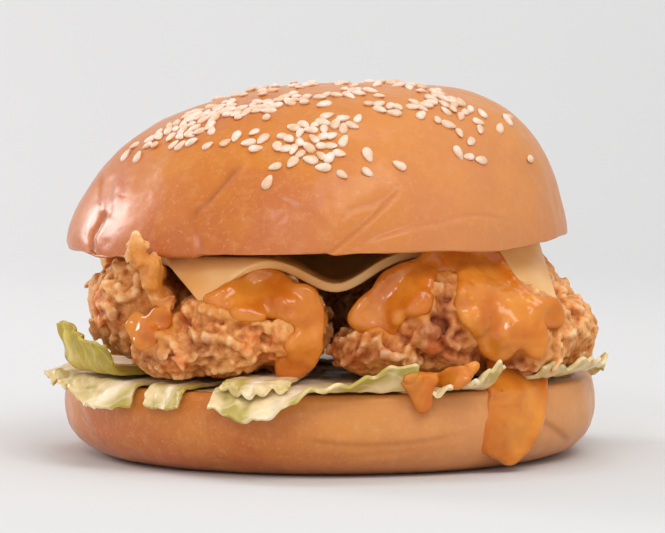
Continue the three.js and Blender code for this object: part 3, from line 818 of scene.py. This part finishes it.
# Sauce: its outlines as seen from the front, in x and z
SAUCE_RIGHT = [
    (19.2, 42.4), (24.1, 43.6), (28, 43.3), (31.5, 41.5), (33.6, 38.5), (36.1, 35.4), (39.9, 32.2),
    (42.8, 31.9), (43.8, 28.7), (40.6, 28), (40.4, 24.5), (39.5, 22.8), (37.1, 24.5), (35.4, 25.5),
    (34, 23.2), (31.9, 22.4), (29.4, 23.8), (28, 27.3), (24.8, 31.5), (25.2, 36.8), (24.1, 39.2),
    (22, 38.9), (19.2, 37.8), (18.5, 32.2), (16.4, 31.2), (14.3, 31.5), (12.9, 30.1), (11.5, 27.3),
    (10.1, 28.7), (7.2, 28), (5, 29), (4.6, 30), (6, 32.6), (8.8, 34.8), (11, 37.6),
    (14.2, 39), (17.1, 40.3),
]
SAUCE_FRONT = [
    (-23.1, 33.7), (-19.1, 35.4), (-15.7, 37.8), (-13.6, 38.8), (-9.6, 37.8), (-7.2, 35.7), (-3.8, 34.7),
    (-2.1, 30.6), (-2.5, 26.6), (-2.5, 23.9), (-4.5, 20.5), (-8.5, 19.2), (-8.9, 21.8), (-6.2, 23.5),
    (-7.5, 25.2), (-5.5, 27.9), (-7.5, 30.3), (-11.2, 31), (-14, 30.3), (-18, 31.3), (-22.4, 33),
]
SAUCE_POOL = [
    (-38.6, 28.2), (-36.8, 30.2), (-34.6, 29.6), (-32.8, 31.6), (-30.6, 31), (-30.6, 28.6), (-32.6, 27),
    (-33.4, 24.8), (-36, 24), (-37.2, 25.8),
]
SHARD_STREAK = [(-37.5, 43), (-35, 42.5), (-31.5, 37.5), (-32.5, 34), (-35.5, 37)]
WIDE_DRIP = [
    (30.8, 21), (30.6, 16), (30.2, 12), (29.4, 8), (29.1, 5.5), (30.8, 4.2), (32.6, 3.2), (34, 2.2),
    (35.8, 3), (38.2, 5.4), (39.6, 8.6), (40.8, 12), (41.2, 16), (40.4, 21), (35.5, 21.5),
]
SMALL_DRIP = [
    (13.9, 19), (15.2, 17.4), (16.2, 15.4), (16.9, 13.8), (17.7, 13.4), (18.4, 14.2), (18.5, 16),
    (18.9, 17.8), (19.8, 19), (17, 19.6),
]
LEAF_SAUCE = [
    (14.2, 19.4), (15.6, 20.2), (17.8, 19.8), (20.4, 19.4), (22.6, 20.8), (25.8, 21.3), (27.6, 21.5),
    (26.5, 20), (25, 18.4), (23.4, 17.6), (21.6, 17.8), (19.6, 17.6), (17, 17.6), (15, 18.2),
]

# What dresses each piece of chicken, as seen from the front: its recesses (x, z, radius across,
# radius up, depth), its strings and crests of batter (points, then a radius), its darker spots of
# painted shade at the recesses and browner batter elsewhere (x, z, radius across, radius up,
# strength) and the outlines of its sauce
FRONT_DRESS = {
    "recesses": [(-10, 20, 6, 2, 2.5), (-25, 28.5, 5, 1.6, 1.6)],
    "crests": [
        ([(-29.6, 29.2), (-25.4, 32.1), (-20.7, 30.9), (-14, 29.8), (-9.5, 26.6), (-2.4, 24.5)], 1.1),
        ([(-23.5, 26.6), (-18, 25.6), (-14.6, 22.6)], 1.0),
        ([(-29.2, 18.8), (-24.1, 19.3), (-15.4, 22)], 0.9),
        ([(-12, 24.5), (-8, 24.2), (-5, 22.8)], 0.9),
        ([(-35, 27), (-31, 26.4), (-28, 23)], 0.8),
    ],
    "painted_shade_and_browning": [(-34.5, 24, 3.2, 3.2, 0.9), (-24, 25, 4, 2.5, 0.5), (-6, 21, 4, 1.4, 0.8)],
    "sauce": [SAUCE_FRONT, SAUCE_POOL],
}
LEFT_DRESS = {
    "recesses": [(-28.5, 36.5, 3.5, 3.5, 4.5)],
    "crests": [
        ([(-43.1, 39.6), (-39.5, 39.5), (-36.8, 37.8), (-37.3, 34.4), (-40.1, 33)], 1.0),
        ([(-45.4, 34.3), (-42.7, 35.4), (-40, 35)], 0.9),
        ([(-44.5, 31.6), (-42, 31), (-41, 27), (-42, 24)], 0.9),
        ([(-37.8, 28), (-39.5, 25.5), (-39, 22)], 0.9),
    ],
    "painted_shade_and_browning": [(-40.5, 28.5, 2, 3, 0.8), (-29, 37, 4, 4, 1)],
    "sauce": [SAUCE_POOL, SHARD_STREAK],
}
RIGHT_DRESS = {
    "recesses": [
        (21.2, 30, 5.2, 6.5, 5), (31.5, 21.8, 5, 2.4, 5.5), (14, 25.5, 3, 2, 2), (42.5, 29, 1.6, 7, 1.5),
    ],
    "crests": [
        ([(24.5, 34.7), (22.7, 31.5), (23.4, 28.7), (22.4, 25.9), (24.1, 24.5)], 0.7),
        ([(20.9, 36.4), (21.5, 32.3)], 0.6),
        ([(19.4, 35.1), (19.8, 30.9)], 0.6),
        ([(18.1, 29.8), (16.7, 26.6), (14.8, 24.1)], 0.8),
        ([(-0.4, 23.1), (1.9, 25), (5.2, 26.8)], 0.7),
        ([(2.9, 21.4), (6.1, 24.3), (6.9, 26.6)], 0.7),
        ([(9.1, 27), (9.7, 24.7)], 0.6),
        ([(10.3, 23.3), (13.3, 22.6), (15.6, 23.7)], 0.9),
        ([(15.2, 22.6), (17.8, 21.2), (20.5, 21)], 1.1),
        ([(22.1, 22.8), (25, 21.8), (27.6, 21.6)], 0.9),
        ([(18, 27.6), (19.3, 27.4), (18.2, 25.8), (19.5, 24.6)], 1.5),
        ([(40.3, 37), (43, 36), (44.1, 34.4), (43.7, 33.2)], 0.9),
        ([(44.9, 33), (47.5, 33), (49, 31.3)], 0.9),
        ([(44.5, 29.8), (47.5, 30.3), (50, 28.6), (49.2, 27.3)], 0.9),
        ([(44.9, 26), (48.3, 26.4), (50.4, 24.7)], 0.9),
    ],
    "painted_shade_and_browning": [(21, 30, 6, 7, 0.8), (31.5, 22, 6, 3, 1), (6, 23, 7, 3.5, 0.55)],
    "sauce": [SAUCE_RIGHT],
}


# Chicken
SHARD_BOX = {"right": -30, "back": -39.6, "bottom": 35}
SHARD_WAVES = [(0.5, 2.5)]
# The batter's crags: how its pattern is warped, its broad swell, then its ridges, knobs and grains,
# each with a height, a sharpness, a shift of the pattern and a size
CRAG_WARP = {"size": 5, "reach": 1.5}
CRAG_SWELL = [(1.3, 9)]
CRAG_RIDGES = [(0.9, 2, (0, 0, 0), 4.6), (0.5, 2.2, (9, 3, 5), 2.4), (0.22, 2.2, (1, 7, 2), 1.25)]
CRAG_SINK = {"front": 1.5, "elsewhere": 0.5, "front_from_y": -12}
# The fine relief on crags, flakes and crests: heights and sizes of its waves
BATTER_WAVES = [(0.25, 1.3), (0.12, 0.6)]
FLAKE = {"length": 1.6, "width": 0.9, "height": 1.4, "thickness": 0.42, "curl": 0.35, "raggedness": 0.35}
# In front of SHARD_FRONT the batter may rise past the bun's cut face
SHARD_FRONT = -39.8
CEILING = {"below_bun": 1.2, "cheese_within": 43}
# How the sauce runs into the batter around it
SMEAR = {"front_from_y": -16, "waves": [(1, 2.2), (0.6, 0.9)], "unevenness": 1.4, "reach": 2.6}
FLAKE_SIZE = {"smallest": 0.45, "more": 0.75, "thicker": 1.2, "lowest": 0.7, "taller": 0.7}
FLAKE_TILT = {"least": 0.6, "more": 0.8}
FLAKE_PLACE = {"above_floor": 2, "left_out_behind": 0.45, "lift": 0.15}
# The beads of a crest: how many between two of its points, their sizes, how far they stray and how
# far in front of the batter they lie, as a share of their radius
BEAD = {"steps": 7, "smallest": 0.75, "more": 0.5, "stray": 0.4, "lift": 0.55}
# How far in front of the middle the spots of a dress begin, and over how much they grow in
SPOT_FADE = {"begin": 18, "over": 8}


def crag(p):
    """How far the batter stands out at a point. The shard has only small waves."""
    if p.x < SHARD_BOX["right"] and p.y < SHARD_BOX["back"] and p.z > SHARD_BOX["bottom"]:
        return waves(p, SHARD_WAVES)
    size = CRAG_WARP["size"]
    warp = Vector((wave(p, size), wave(p + Vector((7, 0, 0)), size), wave(p + Vector((0, 9, 0)), size)))
    p = p + warp * CRAG_WARP["reach"]
    height = waves(p, CRAG_SWELL)
    for tall, sharp, shift, size in CRAG_RIDGES:
        height += tall * (1 - sharp * abs(wave(p + Vector(shift), size)))
    return height - CRAG_SINK["front" if p.y < CRAG_SINK["front_from_y"] else "elsewhere"]


def flake_master():
    """One thin curled flake of batter."""
    bpy.ops.mesh.primitive_ico_sphere_add(subdivisions=3, radius=MM)
    flake = settle(bpy.context.object, "flake")

    def curl(x, y, z):
        thick = FLAKE["thickness"] + 0.14 * wave((x, y, z), 0.7)
        ragged = 1 + FLAKE["raggedness"] * wave((x * 2, z * 2, 5), 0.9)
        across = FLAKE["width"] * y * thick + FLAKE["curl"] * x * x
        return FLAKE["length"] * x * ragged, across, FLAKE["height"] * z * ragged

    shape(flake, curl)
    return flake


def flakes_on(meat, count, seed):
    draw = random_from(seed)
    points, normals = points_of(meat), normals_of(meat)
    matrices = []
    while len(matrices) < count:
        index = int(draw() * len(points))
        point, normal = Vector(points[index]), Vector(normals[index])
        low = point.z < CHICKEN_FLOOR + FLAKE_PLACE["above_floor"]
        if low or (point.y > 0 and draw() < FLAKE_PLACE["left_out_behind"]):
            continue
        turned = normal.to_track_quat("Z", "Y") @ Quaternion((0, 0, 1), draw() * 2 * math.pi)
        turned = turned @ Quaternion((1, 0, 0), FLAKE_TILT["least"] + FLAKE_TILT["more"] * draw())
        size = FLAKE_SIZE["smallest"] + FLAKE_SIZE["more"] * draw() ** 2
        foot = (point + normal * (FLAKE_PLACE["lift"] * size)) * MM
        tall = size * (FLAKE_SIZE["lowest"] + FLAKE_SIZE["taller"] * draw())
        stretch = Matrix.Diagonal((size, size * FLAKE_SIZE["thicker"], tall, 1))
        matrices.append(Matrix.Translation(foot) @ turned.to_matrix().to_4x4() @ stretch)
    return copies_of(flake_master(), matrices)


def crests_on(meat, crests, seed):
    """Strings and crests of batter, as beads along lines seen from the front."""
    draw = random_from(seed)
    tree = tree_of(meat)
    bpy.ops.mesh.primitive_ico_sphere_add(subdivisions=2, radius=MM)
    bead = settle(bpy.context.object, "bead")
    matrices = []
    for line, radius in crests:
        for x, z in rounded(line, BEAD["steps"]):
            hit = tree.ray_cast(Vector((x, IN_FRONT, z)) * MM, Vector((0, 1, 0)))[0]
            if hit is None:
                continue
            size = radius * (BEAD["smallest"] + BEAD["more"] * draw())
            aside, up = (BEAD["stray"] * (draw() - 0.5) for _ in range(2))
            lift = Vector((aside, -BEAD["lift"] * radius, up)) * MM
            matrices.append(Matrix.Translation(hit + lift) @ Matrix.Scale(size, 4))
    return copies_of(bead, matrices)


def spread(points, places):
    """The strongest of several soft spots, each x, z, radius across, radius up and strength, on the
    front only."""
    x, y, z = points.T
    share = np.zeros(len(points))
    for cx, cz, rx, rz, strength in places:
        share = np.maximum(share, strength * np.exp(-(((x - cx) / rx) ** 2) - ((z - cz) / rz) ** 2))
    return share * np.clip((-y - SPOT_FADE["begin"]) / SPOT_FADE["over"], 0, 1)


def smeared(points, outlines):
    """How far the sauce has run into the batter at each point, 0 to 1, with an uneven edge."""
    share = np.zeros(len(points))
    front = np.flatnonzero(points[:, 1] < SMEAR["front_from_y"])
    x, _, z = points[front].T
    uneven = np.array([waves(p, SMEAR["waves"]) for p in points[front]])
    for outline in outlines:
        closed = outline + outline[:1]
        reach = np.where(inside(x, z, rounded(closed, 4)), 0, measured_from(closed, x, z)[0])
        soaked = np.clip(1 - (reach + SMEAR["unevenness"] * uneven) / SMEAR["reach"], 0, 1)
        share[front] = np.maximum(share[front], soaked)
    return share


def store(piece, name, values):
    layer = piece.data.attributes.new(name, "FLOAT", "POINT")
    layer.data.foreach_set("value", np.asarray(values, dtype=np.float32))


def chicken_piece(name, node, lumps, flakes, seed, dress, grain):
    """A lumpy piece in craggy batter, whose mesh has faces of the size of the grain."""
    parts = []
    for cx, cy, cz, rx, ry, rz in lumps:
        bpy.ops.mesh.primitive_ico_sphere_add(
            subdivisions=5, radius=MM, location=(cx * MM, cy * MM, cz * MM))
        ball = bpy.context.object
        ball.scale = (rx, ry, rz)
        parts.append(settle(ball, "lump"))
    meat = join(parts)
    modify(meat, "REMESH", mode="VOXEL", voxel_size=0.7 * MM)
    swell(meat, crag)
    points = points_of(meat)
    points[:, 1] += spread(points, dress["recesses"])
    put_points(meat, points)
    meat = join([meat, flakes_on(meat, flakes, seed), crests_on(meat, dress["crests"], seed + 50)])
    modify(meat, "REMESH", mode="VOXEL", voxel_size=grain * MM)
    swell(meat, lambda p: waves(p, BATTER_WAVES))
    put_points(meat, [limited(p) for p in points_of(meat)])
    store_relief(meat, rounds=24, full=0.8)
    points = points_of(meat)
    # Painted shade at the recesses, and browner batter at the other spots.
    store(meat, "recess_shade_and_toast", spread(points, dress["painted_shade_and_browning"]))
    store(meat, "smear", smeared(points, dress["sauce"]))
    smooth_shade(meat)
    settle(meat, name)
    finish_piece(meat, "batter", [BATTER], node)
    return meat


def limited(p):
    """Keeps the batter between the lettuce and the cut face, and the shard in front of the bun."""
    if p[1] < SHARD_FRONT:
        return p[0], p[1], max(CHICKEN_FLOOR, p[2])
    ceiling = cut_face(p[0]) - CEILING["below_bun"]
    if math.hypot(p[0], p[1]) < CEILING["cheese_within"]:
        ceiling -= CHEESE["thickness"]
    return p[0], p[1], max(CHICKEN_FLOOR, min(ceiling, p[2]))


# Lettuce: each leaf's first and last angle in degrees, its reach from the middle at its root, at
# the edge's start, at its tip and at the edge's end, where the tip lies (0 to 1), its layer, its
# droop in radians at both ends, and the height, number and phase of its waves
LEAVES = {
    "lettuce_blade": (198, 220, (20, 61, 62, 58.5), 0.15, 1, (-1.5, -1.25), (0.7, 1.5, 0.4)),
    "lettuce_left": (194, 226, (15, 56, 59, 57), 0.75, 0, (0.2, 1.1), (1.5, 2.5, 1.1)),
    "lettuce_chip": (230, 239, (24, 57, 57.4, 57.2), 0.5, 0, (1.2, 1.2), (0.4, 1, 2.0)),
    "lettuce_chunk": (248, 262, (26, 55.5, 57, 55), 0.4, 1, (0.5, 0.4), (0.5, 1.5, 0.9)),
    "lettuce_front": (246, 287, (15, 55, 61, 58), 0.3, 0, (1.25, -1.0), (1.4, 2.5, 0.3)),
    "lettuce_right": (288, 305, (18, 54, 58.5, 58), 0.6, 0, (0.5, -0.7), (1.9, 2, 2.8)),
    "lettuce_far_right": (318, 350, (17, 55, 56.5, 55), 0.7, 0.6, (-0.8, -0.3), (1.0, 2, 1.4)),
    "lettuce_back_right": (10, 55, (15, 56, 59, 57), 0.4, 0, (0.5, 1.0), (1.6, 3, 0.9)),
    "lettuce_back": (60, 106, (15, 56, 59, 55), 0.6, 0, (1.1, 0.8), (1.5, 3, 2.2)),
    "lettuce_back_left": (111, 147, (15, 55, 58, 55), 0.3, 0, (0.4, 0.9), (1.8, 2.5, 0.2)),
    "lettuce_side": (153, 188, (15, 55, 58, 56), 0.5, 0, (0.9, 0.5), (1.5, 2.5, 1.7)),
}
LEAF = {"thickness": 1.0, "layer": 1.5, "lift": 0.15, "shown_thickness": 0.7, "edge": 0.16}
# Where a leaf bends over the bun's rim: the radius, the radius of the bend and the share of the
# leaf that lies flat before it
LEAF_FOLD = {"start": 51.5, "bend": 2.8, "flat_share": 0.34}
LEAF_EDGE = {"tip_spread": 0.3, "tears": 0.9, "small_tears": 0.5}
LEAF_FRILL = {"height": 0.55, "per_wave": 3.3, "crumple": 0.6, "small_crumple": 0.45}
# The relief of a leaf: heights and sizes of its waves
LEAF_WAVES = [(0.32, 3.1), (0.16, 1.4)]
VEINS = {"rib": 0.06, "root": 0.1, "side": 0.16, "count": 16, "slant": 5, "side_strength": 0.5}


def leaf_place(leaf, u, v):
    """A point of a leaf: u runs along its edge and v from the root to the edge, both 0 to 1. It
    lies flat on the bun, then bends up or down past the bun's rim."""
    first, last, (root, start, peak, end), tip, layer, droop, (height, count, phase) = leaf
    bed = BOTTOM_BUN["cut"] + GAP + LEAF["thickness"] / 2 + LEAF["lift"] + layer * LEAF["layer"]
    angle = math.radians(first + (last - first) * u)
    edge = start + (end - start) * u
    torn = LEAF_EDGE["tears"] * wave((angle * 9, layer * 5, phase), 1)
    torn += LEAF_EDGE["small_tears"] * wave((angle * 30, phase, 7), 1)
    reach = edge + (peak - edge) * bell(u - tip, LEAF_EDGE["tip_spread"]) + torn
    flat = min(1, v / LEAF_FOLD["flat_share"])
    free = max(0, (v - LEAF_FOLD["flat_share"]) / (1 - LEAF_FOLD["flat_share"]))
    over = (reach - LEAF_FOLD["start"]) * free
    lean = droop[0] + (droop[1] - droop[0]) * u
    turn = abs(lean)
    curve = min(turn, over / LEAF_FOLD["bend"])
    straight = max(0, over - turn * LEAF_FOLD["bend"])
    out = LEAF_FOLD["bend"] * math.sin(curve) + straight * math.cos(turn)
    fall = LEAF_FOLD["bend"] * (1 - math.cos(curve)) + straight * math.sin(turn)
    along = 2 * math.pi * count * u
    ripple = 0.5 * height * (1 + math.sin(along + phase)) * free
    frill = LEAF_FRILL["height"] * free * free * math.sin(LEAF_FRILL["per_wave"] * along + 3 * phase)
    frill += free * LEAF_FRILL["crumple"] * wave((angle * 14, v * 4, phase), 1)
    frill += free * LEAF_FRILL["small_crumple"] * wave((angle * 36, v * 7, phase), 1)
    r = root + (LEAF_FOLD["start"] - root) * flat + out + (ripple + frill) * math.sin(turn)
    z = bed - math.copysign(fall, lean) + (ripple + frill) * math.cos(turn)
    return r * math.cos(angle), r * math.sin(angle), z


def vein_strength(tip, u, v):
    """A pale midrib toward the tip, with side veins that fan out from it."""
    aside = u - tip - 0.1 * math.sin(3 * v)
    rib = bell(aside, VEINS["rib"] + VEINS["root"] * (1 - v))
    fan = abs(math.sin(aside * VEINS["count"] + VEINS["slant"] * v))
    return min(1, rib + VEINS["side_strength"] * bell(fan, VEINS["side"]))


def lettuce(name, leaf, look):
    bpy.ops.mesh.primitive_grid_add(x_subdivisions=90, y_subdivisions=44, size=2 * MM)
    piece = settle(bpy.context.object, name.replace("lettuce", "leaf"))
    tip = leaf[3]
    veins = [vein_strength(tip, 0.5 + x / 2, 0.5 + y / 2) for x, y, _ in points_of(piece)]
    store(piece, "vein", veins)
    shape(piece, lambda x, y, _: leaf_place(leaf, 0.5 + x / 2, 0.5 + y / 2))
    select_only(piece)
    bpy.ops.object.mode_set(mode="EDIT")
    bpy.ops.mesh.select_all(action="SELECT")
    bpy.ops.mesh.normals_make_consistent(inside=False)
    bpy.ops.object.mode_set(mode="OBJECT")
    swell(piece, lambda p: waves(p, LEAF_WAVES))
    modify(piece, "SOLIDIFY", thickness=LEAF["shown_thickness"] * MM, offset=0)
    modify(piece, "BEVEL", width=LEAF["edge"] * MM, segments=2, limit_method="ANGLE",
           angle_limit=math.radians(60))
    smooth_shade(piece)
    finish_piece(piece, "lettuce", [look], name)
    return piece


# Sauce sheets: made of drops on a grid, which a remesh melts together. The grid's step, how far
# apart in depth two drops lie for each one that goes between them, the size of the mesh and the
# rounds of bridging
SHEET = {"step": 0.75, "steep": 0.6, "mesh": 0.38, "bridging": 20}


def front_depths(trees, outline, ring, lean):
    """For each grid point inside the outline, the place on the surface behind it. Where nothing is
    nearer than a ring about the burger's middle, the sauce spans the hole along the ring, which
    leans inward above the bun."""
    curve = rounded(outline + outline[:1], 4)
    low, high = np.min(curve, axis=0), np.max(curve, axis=0)
    columns, rows = ((high - low) / SHEET["step"]).astype(int) + 1
    i, j = (grid.ravel() for grid in np.meshgrid(range(columns), range(rows)))
    x, z = low[0] + i * SHEET["step"], low[1] + j * SHEET["step"]
    depths = {}
    for k in np.flatnonzero(inside(x, z, curve)):
        start = Vector((x[k], IN_FRONT, z[k])) * MM
        hits = [tree.ray_cast(start, Vector((0, 1, 0)))[0] for tree in trees]
        span = ring - lean * max(0, z[k] - BOTTOM_BUN["cut"])
        on_ring = -math.sqrt(max(0, span ** 2 - x[k] ** 2))
        nearest = min([hit.y / MM for hit in hits if hit is not None] + [on_ring])
        if nearest < 0:
            depths[i[k], j[k]] = (x[k], nearest, z[k])
    return depths


def bridged(depths):
    """Lets the sauce span hollows: no point lies deeper than its neighbours' mean."""
    for _ in range(SHEET["bridging"]):
        fresh = {}
        for (i, j), (x, y, z) in depths.items():
            around = [depths[k][1] for k in ((i + 1, j), (i - 1, j), (i, j + 1), (i, j - 1)) if k in depths]
            mean = sum(around) / len(around) if around else y
            fresh[i, j] = (x, min(y, mean), z)
        depths = fresh
    return depths


def drops_of(depths, outline):
    """Where the drops of a sheet lie: on the grid, between steep neighbours and along the outline."""
    drops = list(depths.values())
    for (i, j), here in depths.items():
        for there in (depths[k] for k in ((i + 1, j), (i, j + 1)) if k in depths):
            extra = int(abs(there[1] - here[1]) / SHEET["steep"])
            for part in range(1, extra + 1):
                drops.append(tuple(a + (b - a) * part / (extra + 1) for a, b in zip(here, there)))
    grid = np.array(list(depths.values()))
    for x, z in rounded(outline + outline[:1], 9):
        nearest = np.argmin((grid[:, 0] - x) ** 2 + (grid[:, 2] - z) ** 2)
        drops.append((x, grid[nearest][1], z))
    return drops


def sauce_sheet(name, outline, carriers, nodes, radius=1.35, sink=0.35, ring=0, lean=0):
    """Sauce inside an outline on its carriers. Its drops have about the given radius and sink in."""
    trees = [tree_of(piece) for piece in carriers]
    bpy.ops.mesh.primitive_ico_sphere_add(subdivisions=2, radius=MM)
    drop = settle(bpy.context.object, "drop")
    matrices = []
    depths = bridged(front_depths(trees, outline, ring, lean))
    for x, y, z in drops_of(depths, outline):
        size = radius * (1 + 0.35 * wave((x, z, radius), 5) + 0.15 * wave((x, z, 9), 2.4))
        foot = Vector((x, y + sink, z)) * MM
        matrices.append(Matrix.Translation(foot) @ Matrix.Scale(size, 4))
    sauce = copies_of(drop, matrices)
    modify(sauce, "REMESH", mode="VOXEL", voxel_size=SHEET["mesh"] * MM)
    modify(sauce, "SMOOTH", factor=0.5, iterations=16)
    smooth_shade(sauce)
    settle(sauce, name)
    finish_piece(sauce, "sauce", [SAUCE], *nodes)


# Floor and light: a pale seamless sweep under soft studio light, in millimetres
SWEEP = {"front": -1000, "run": 1600, "radius": 500, "wall": 1200, "half_width": 2500}


def sweep():
    bpy.ops.mesh.primitive_grid_add(x_subdivisions=2, y_subdivisions=48, size=2 * MM)
    floor = settle(bpy.context.object, "floor_sweep")
    run, radius = SWEEP["run"], SWEEP["radius"]
    bend = radius * math.pi / 2

    def place(x, y, _):
        along = (y / 2 + 0.5) * (run + bend + SWEEP["wall"])
        aside, back = x * SWEEP["half_width"], SWEEP["front"] + run
        if along < run:
            return aside, SWEEP["front"] + along, 0
        if along < run + bend:
            a = (along - run) / radius
            return aside, back + radius * math.sin(a), radius * (1 - math.cos(a))
        return aside, back + radius, radius + along - run - bend

    shape(floor, place)
    smooth_shade(floor)
    material, shader, _ = new_material("matt_white_paper")
    feed(material, shader, {"Base Color": colour("#d7d7d7"), "Roughness": 1.0, "Specular IOR Level": 0.0})
    floor.data.materials.append(material)


def softbox(name, place, width, power, tint=(1, 1, 1), target=VIEW["aim"]):
    """A square area light: its place and width in metres, its power in watts, its target in mm."""
    light = bpy.data.objects.new(name, bpy.data.lights.new(name, "AREA"))
    bpy.context.scene.collection.objects.link(light)
    light.data.size = width
    light.data.energy = power
    light.data.color = tint
    light.location = place
    light.rotation_euler = (Vector(place) - Vector(target) * MM).to_track_quat("Z", "Y").to_euler()


def studio():
    world = bpy.data.worlds.new("studio")
    bpy.context.scene.world = world
    world.use_nodes = True
    world.node_tree.nodes["Background"].inputs["Color"].default_value = (0.9, 0.9, 0.9, 1)
    world.node_tree.nodes["Background"].inputs["Strength"].default_value = 0.8
    softbox("key", place=(0.3, -0.55, 0.7), width=0.4, power=2.6, tint=(1, 0.98, 0.96))
    softbox("fill", place=(-0.15, -0.9, 0.22), width=0.8, power=1.45, tint=(1, 0.98, 0.97))
    softbox("side", place=(-0.8, 0.52, 0.36), width=0.3, power=3.6, tint=(1, 0.94, 0.93))
    softbox("glint", place=(-0.25, -0.8, 0.55), width=0.1, power=0.8)
    softbox("backdrop", place=(0, 0.1, 0.9), width=0.6, power=2.7, target=(0, 1100, 300))
    bpy.context.scene.view_settings.view_transform = "Standard"


# The burger
sweep()
studio()
crown = top_bun()
sesame_seeds(crown)
base = bottom_bun()
cheese = cheese_slice()
front_chicken = chicken_piece(
    "chicken_front_crust", "chicken_front", CHICKEN_FRONT, flakes=260, seed=11, dress=FRONT_DRESS,
    grain=0.38)
left_chicken = chicken_piece(
    "chicken_left_crust", "chicken_left", CHICKEN_LEFT + SHARD, flakes=420, seed=12, dress=LEFT_DRESS,
    grain=0.39)
right_chicken = chicken_piece(
    "chicken_right_crust", "chicken_right", CHICKEN_RIGHT, flakes=520, seed=13, dress=RIGHT_DRESS,
    grain=0.44)
leaves = {}
for leaf_name, leaf in LEAVES.items():
    look = GREEN_LETTUCE if leaf_name == "lettuce_blade" else PALE_LETTUCE
    leaves[leaf_name] = lettuce(leaf_name, leaf, look)
front_leaves = [leaves["lettuce_right"], leaves["lettuce_front"]]
sauce_sheet("sauce_right", SAUCE_RIGHT, [right_chicken, cheese], ["chicken_right"], ring=41)
sauce_sheet("sauce_front", SAUCE_FRONT, [front_chicken], ["chicken_front"], ring=43)
sauce_sheet("sauce_pool", SAUCE_POOL, [left_chicken, front_chicken], ["chicken_left"], radius=0.7, sink=0.3)
sauce_sheet("sauce_wide_drip", WIDE_DRIP, [base], ["bun_bottom"], radius=1.0, sink=0.3, ring=51, lean=1.2)
sauce_sheet("sauce_small_drip", SMALL_DRIP, [base] + front_leaves, ["bun_bottom"], radius=1.0, sink=0,
            ring=53, lean=1.2)
sauce_sheet("sauce_on_leaf", LEAF_SAUCE, front_leaves + [right_chicken], ["bun_bottom"], radius=0.8, sink=0,
            ring=53, lean=1.4)
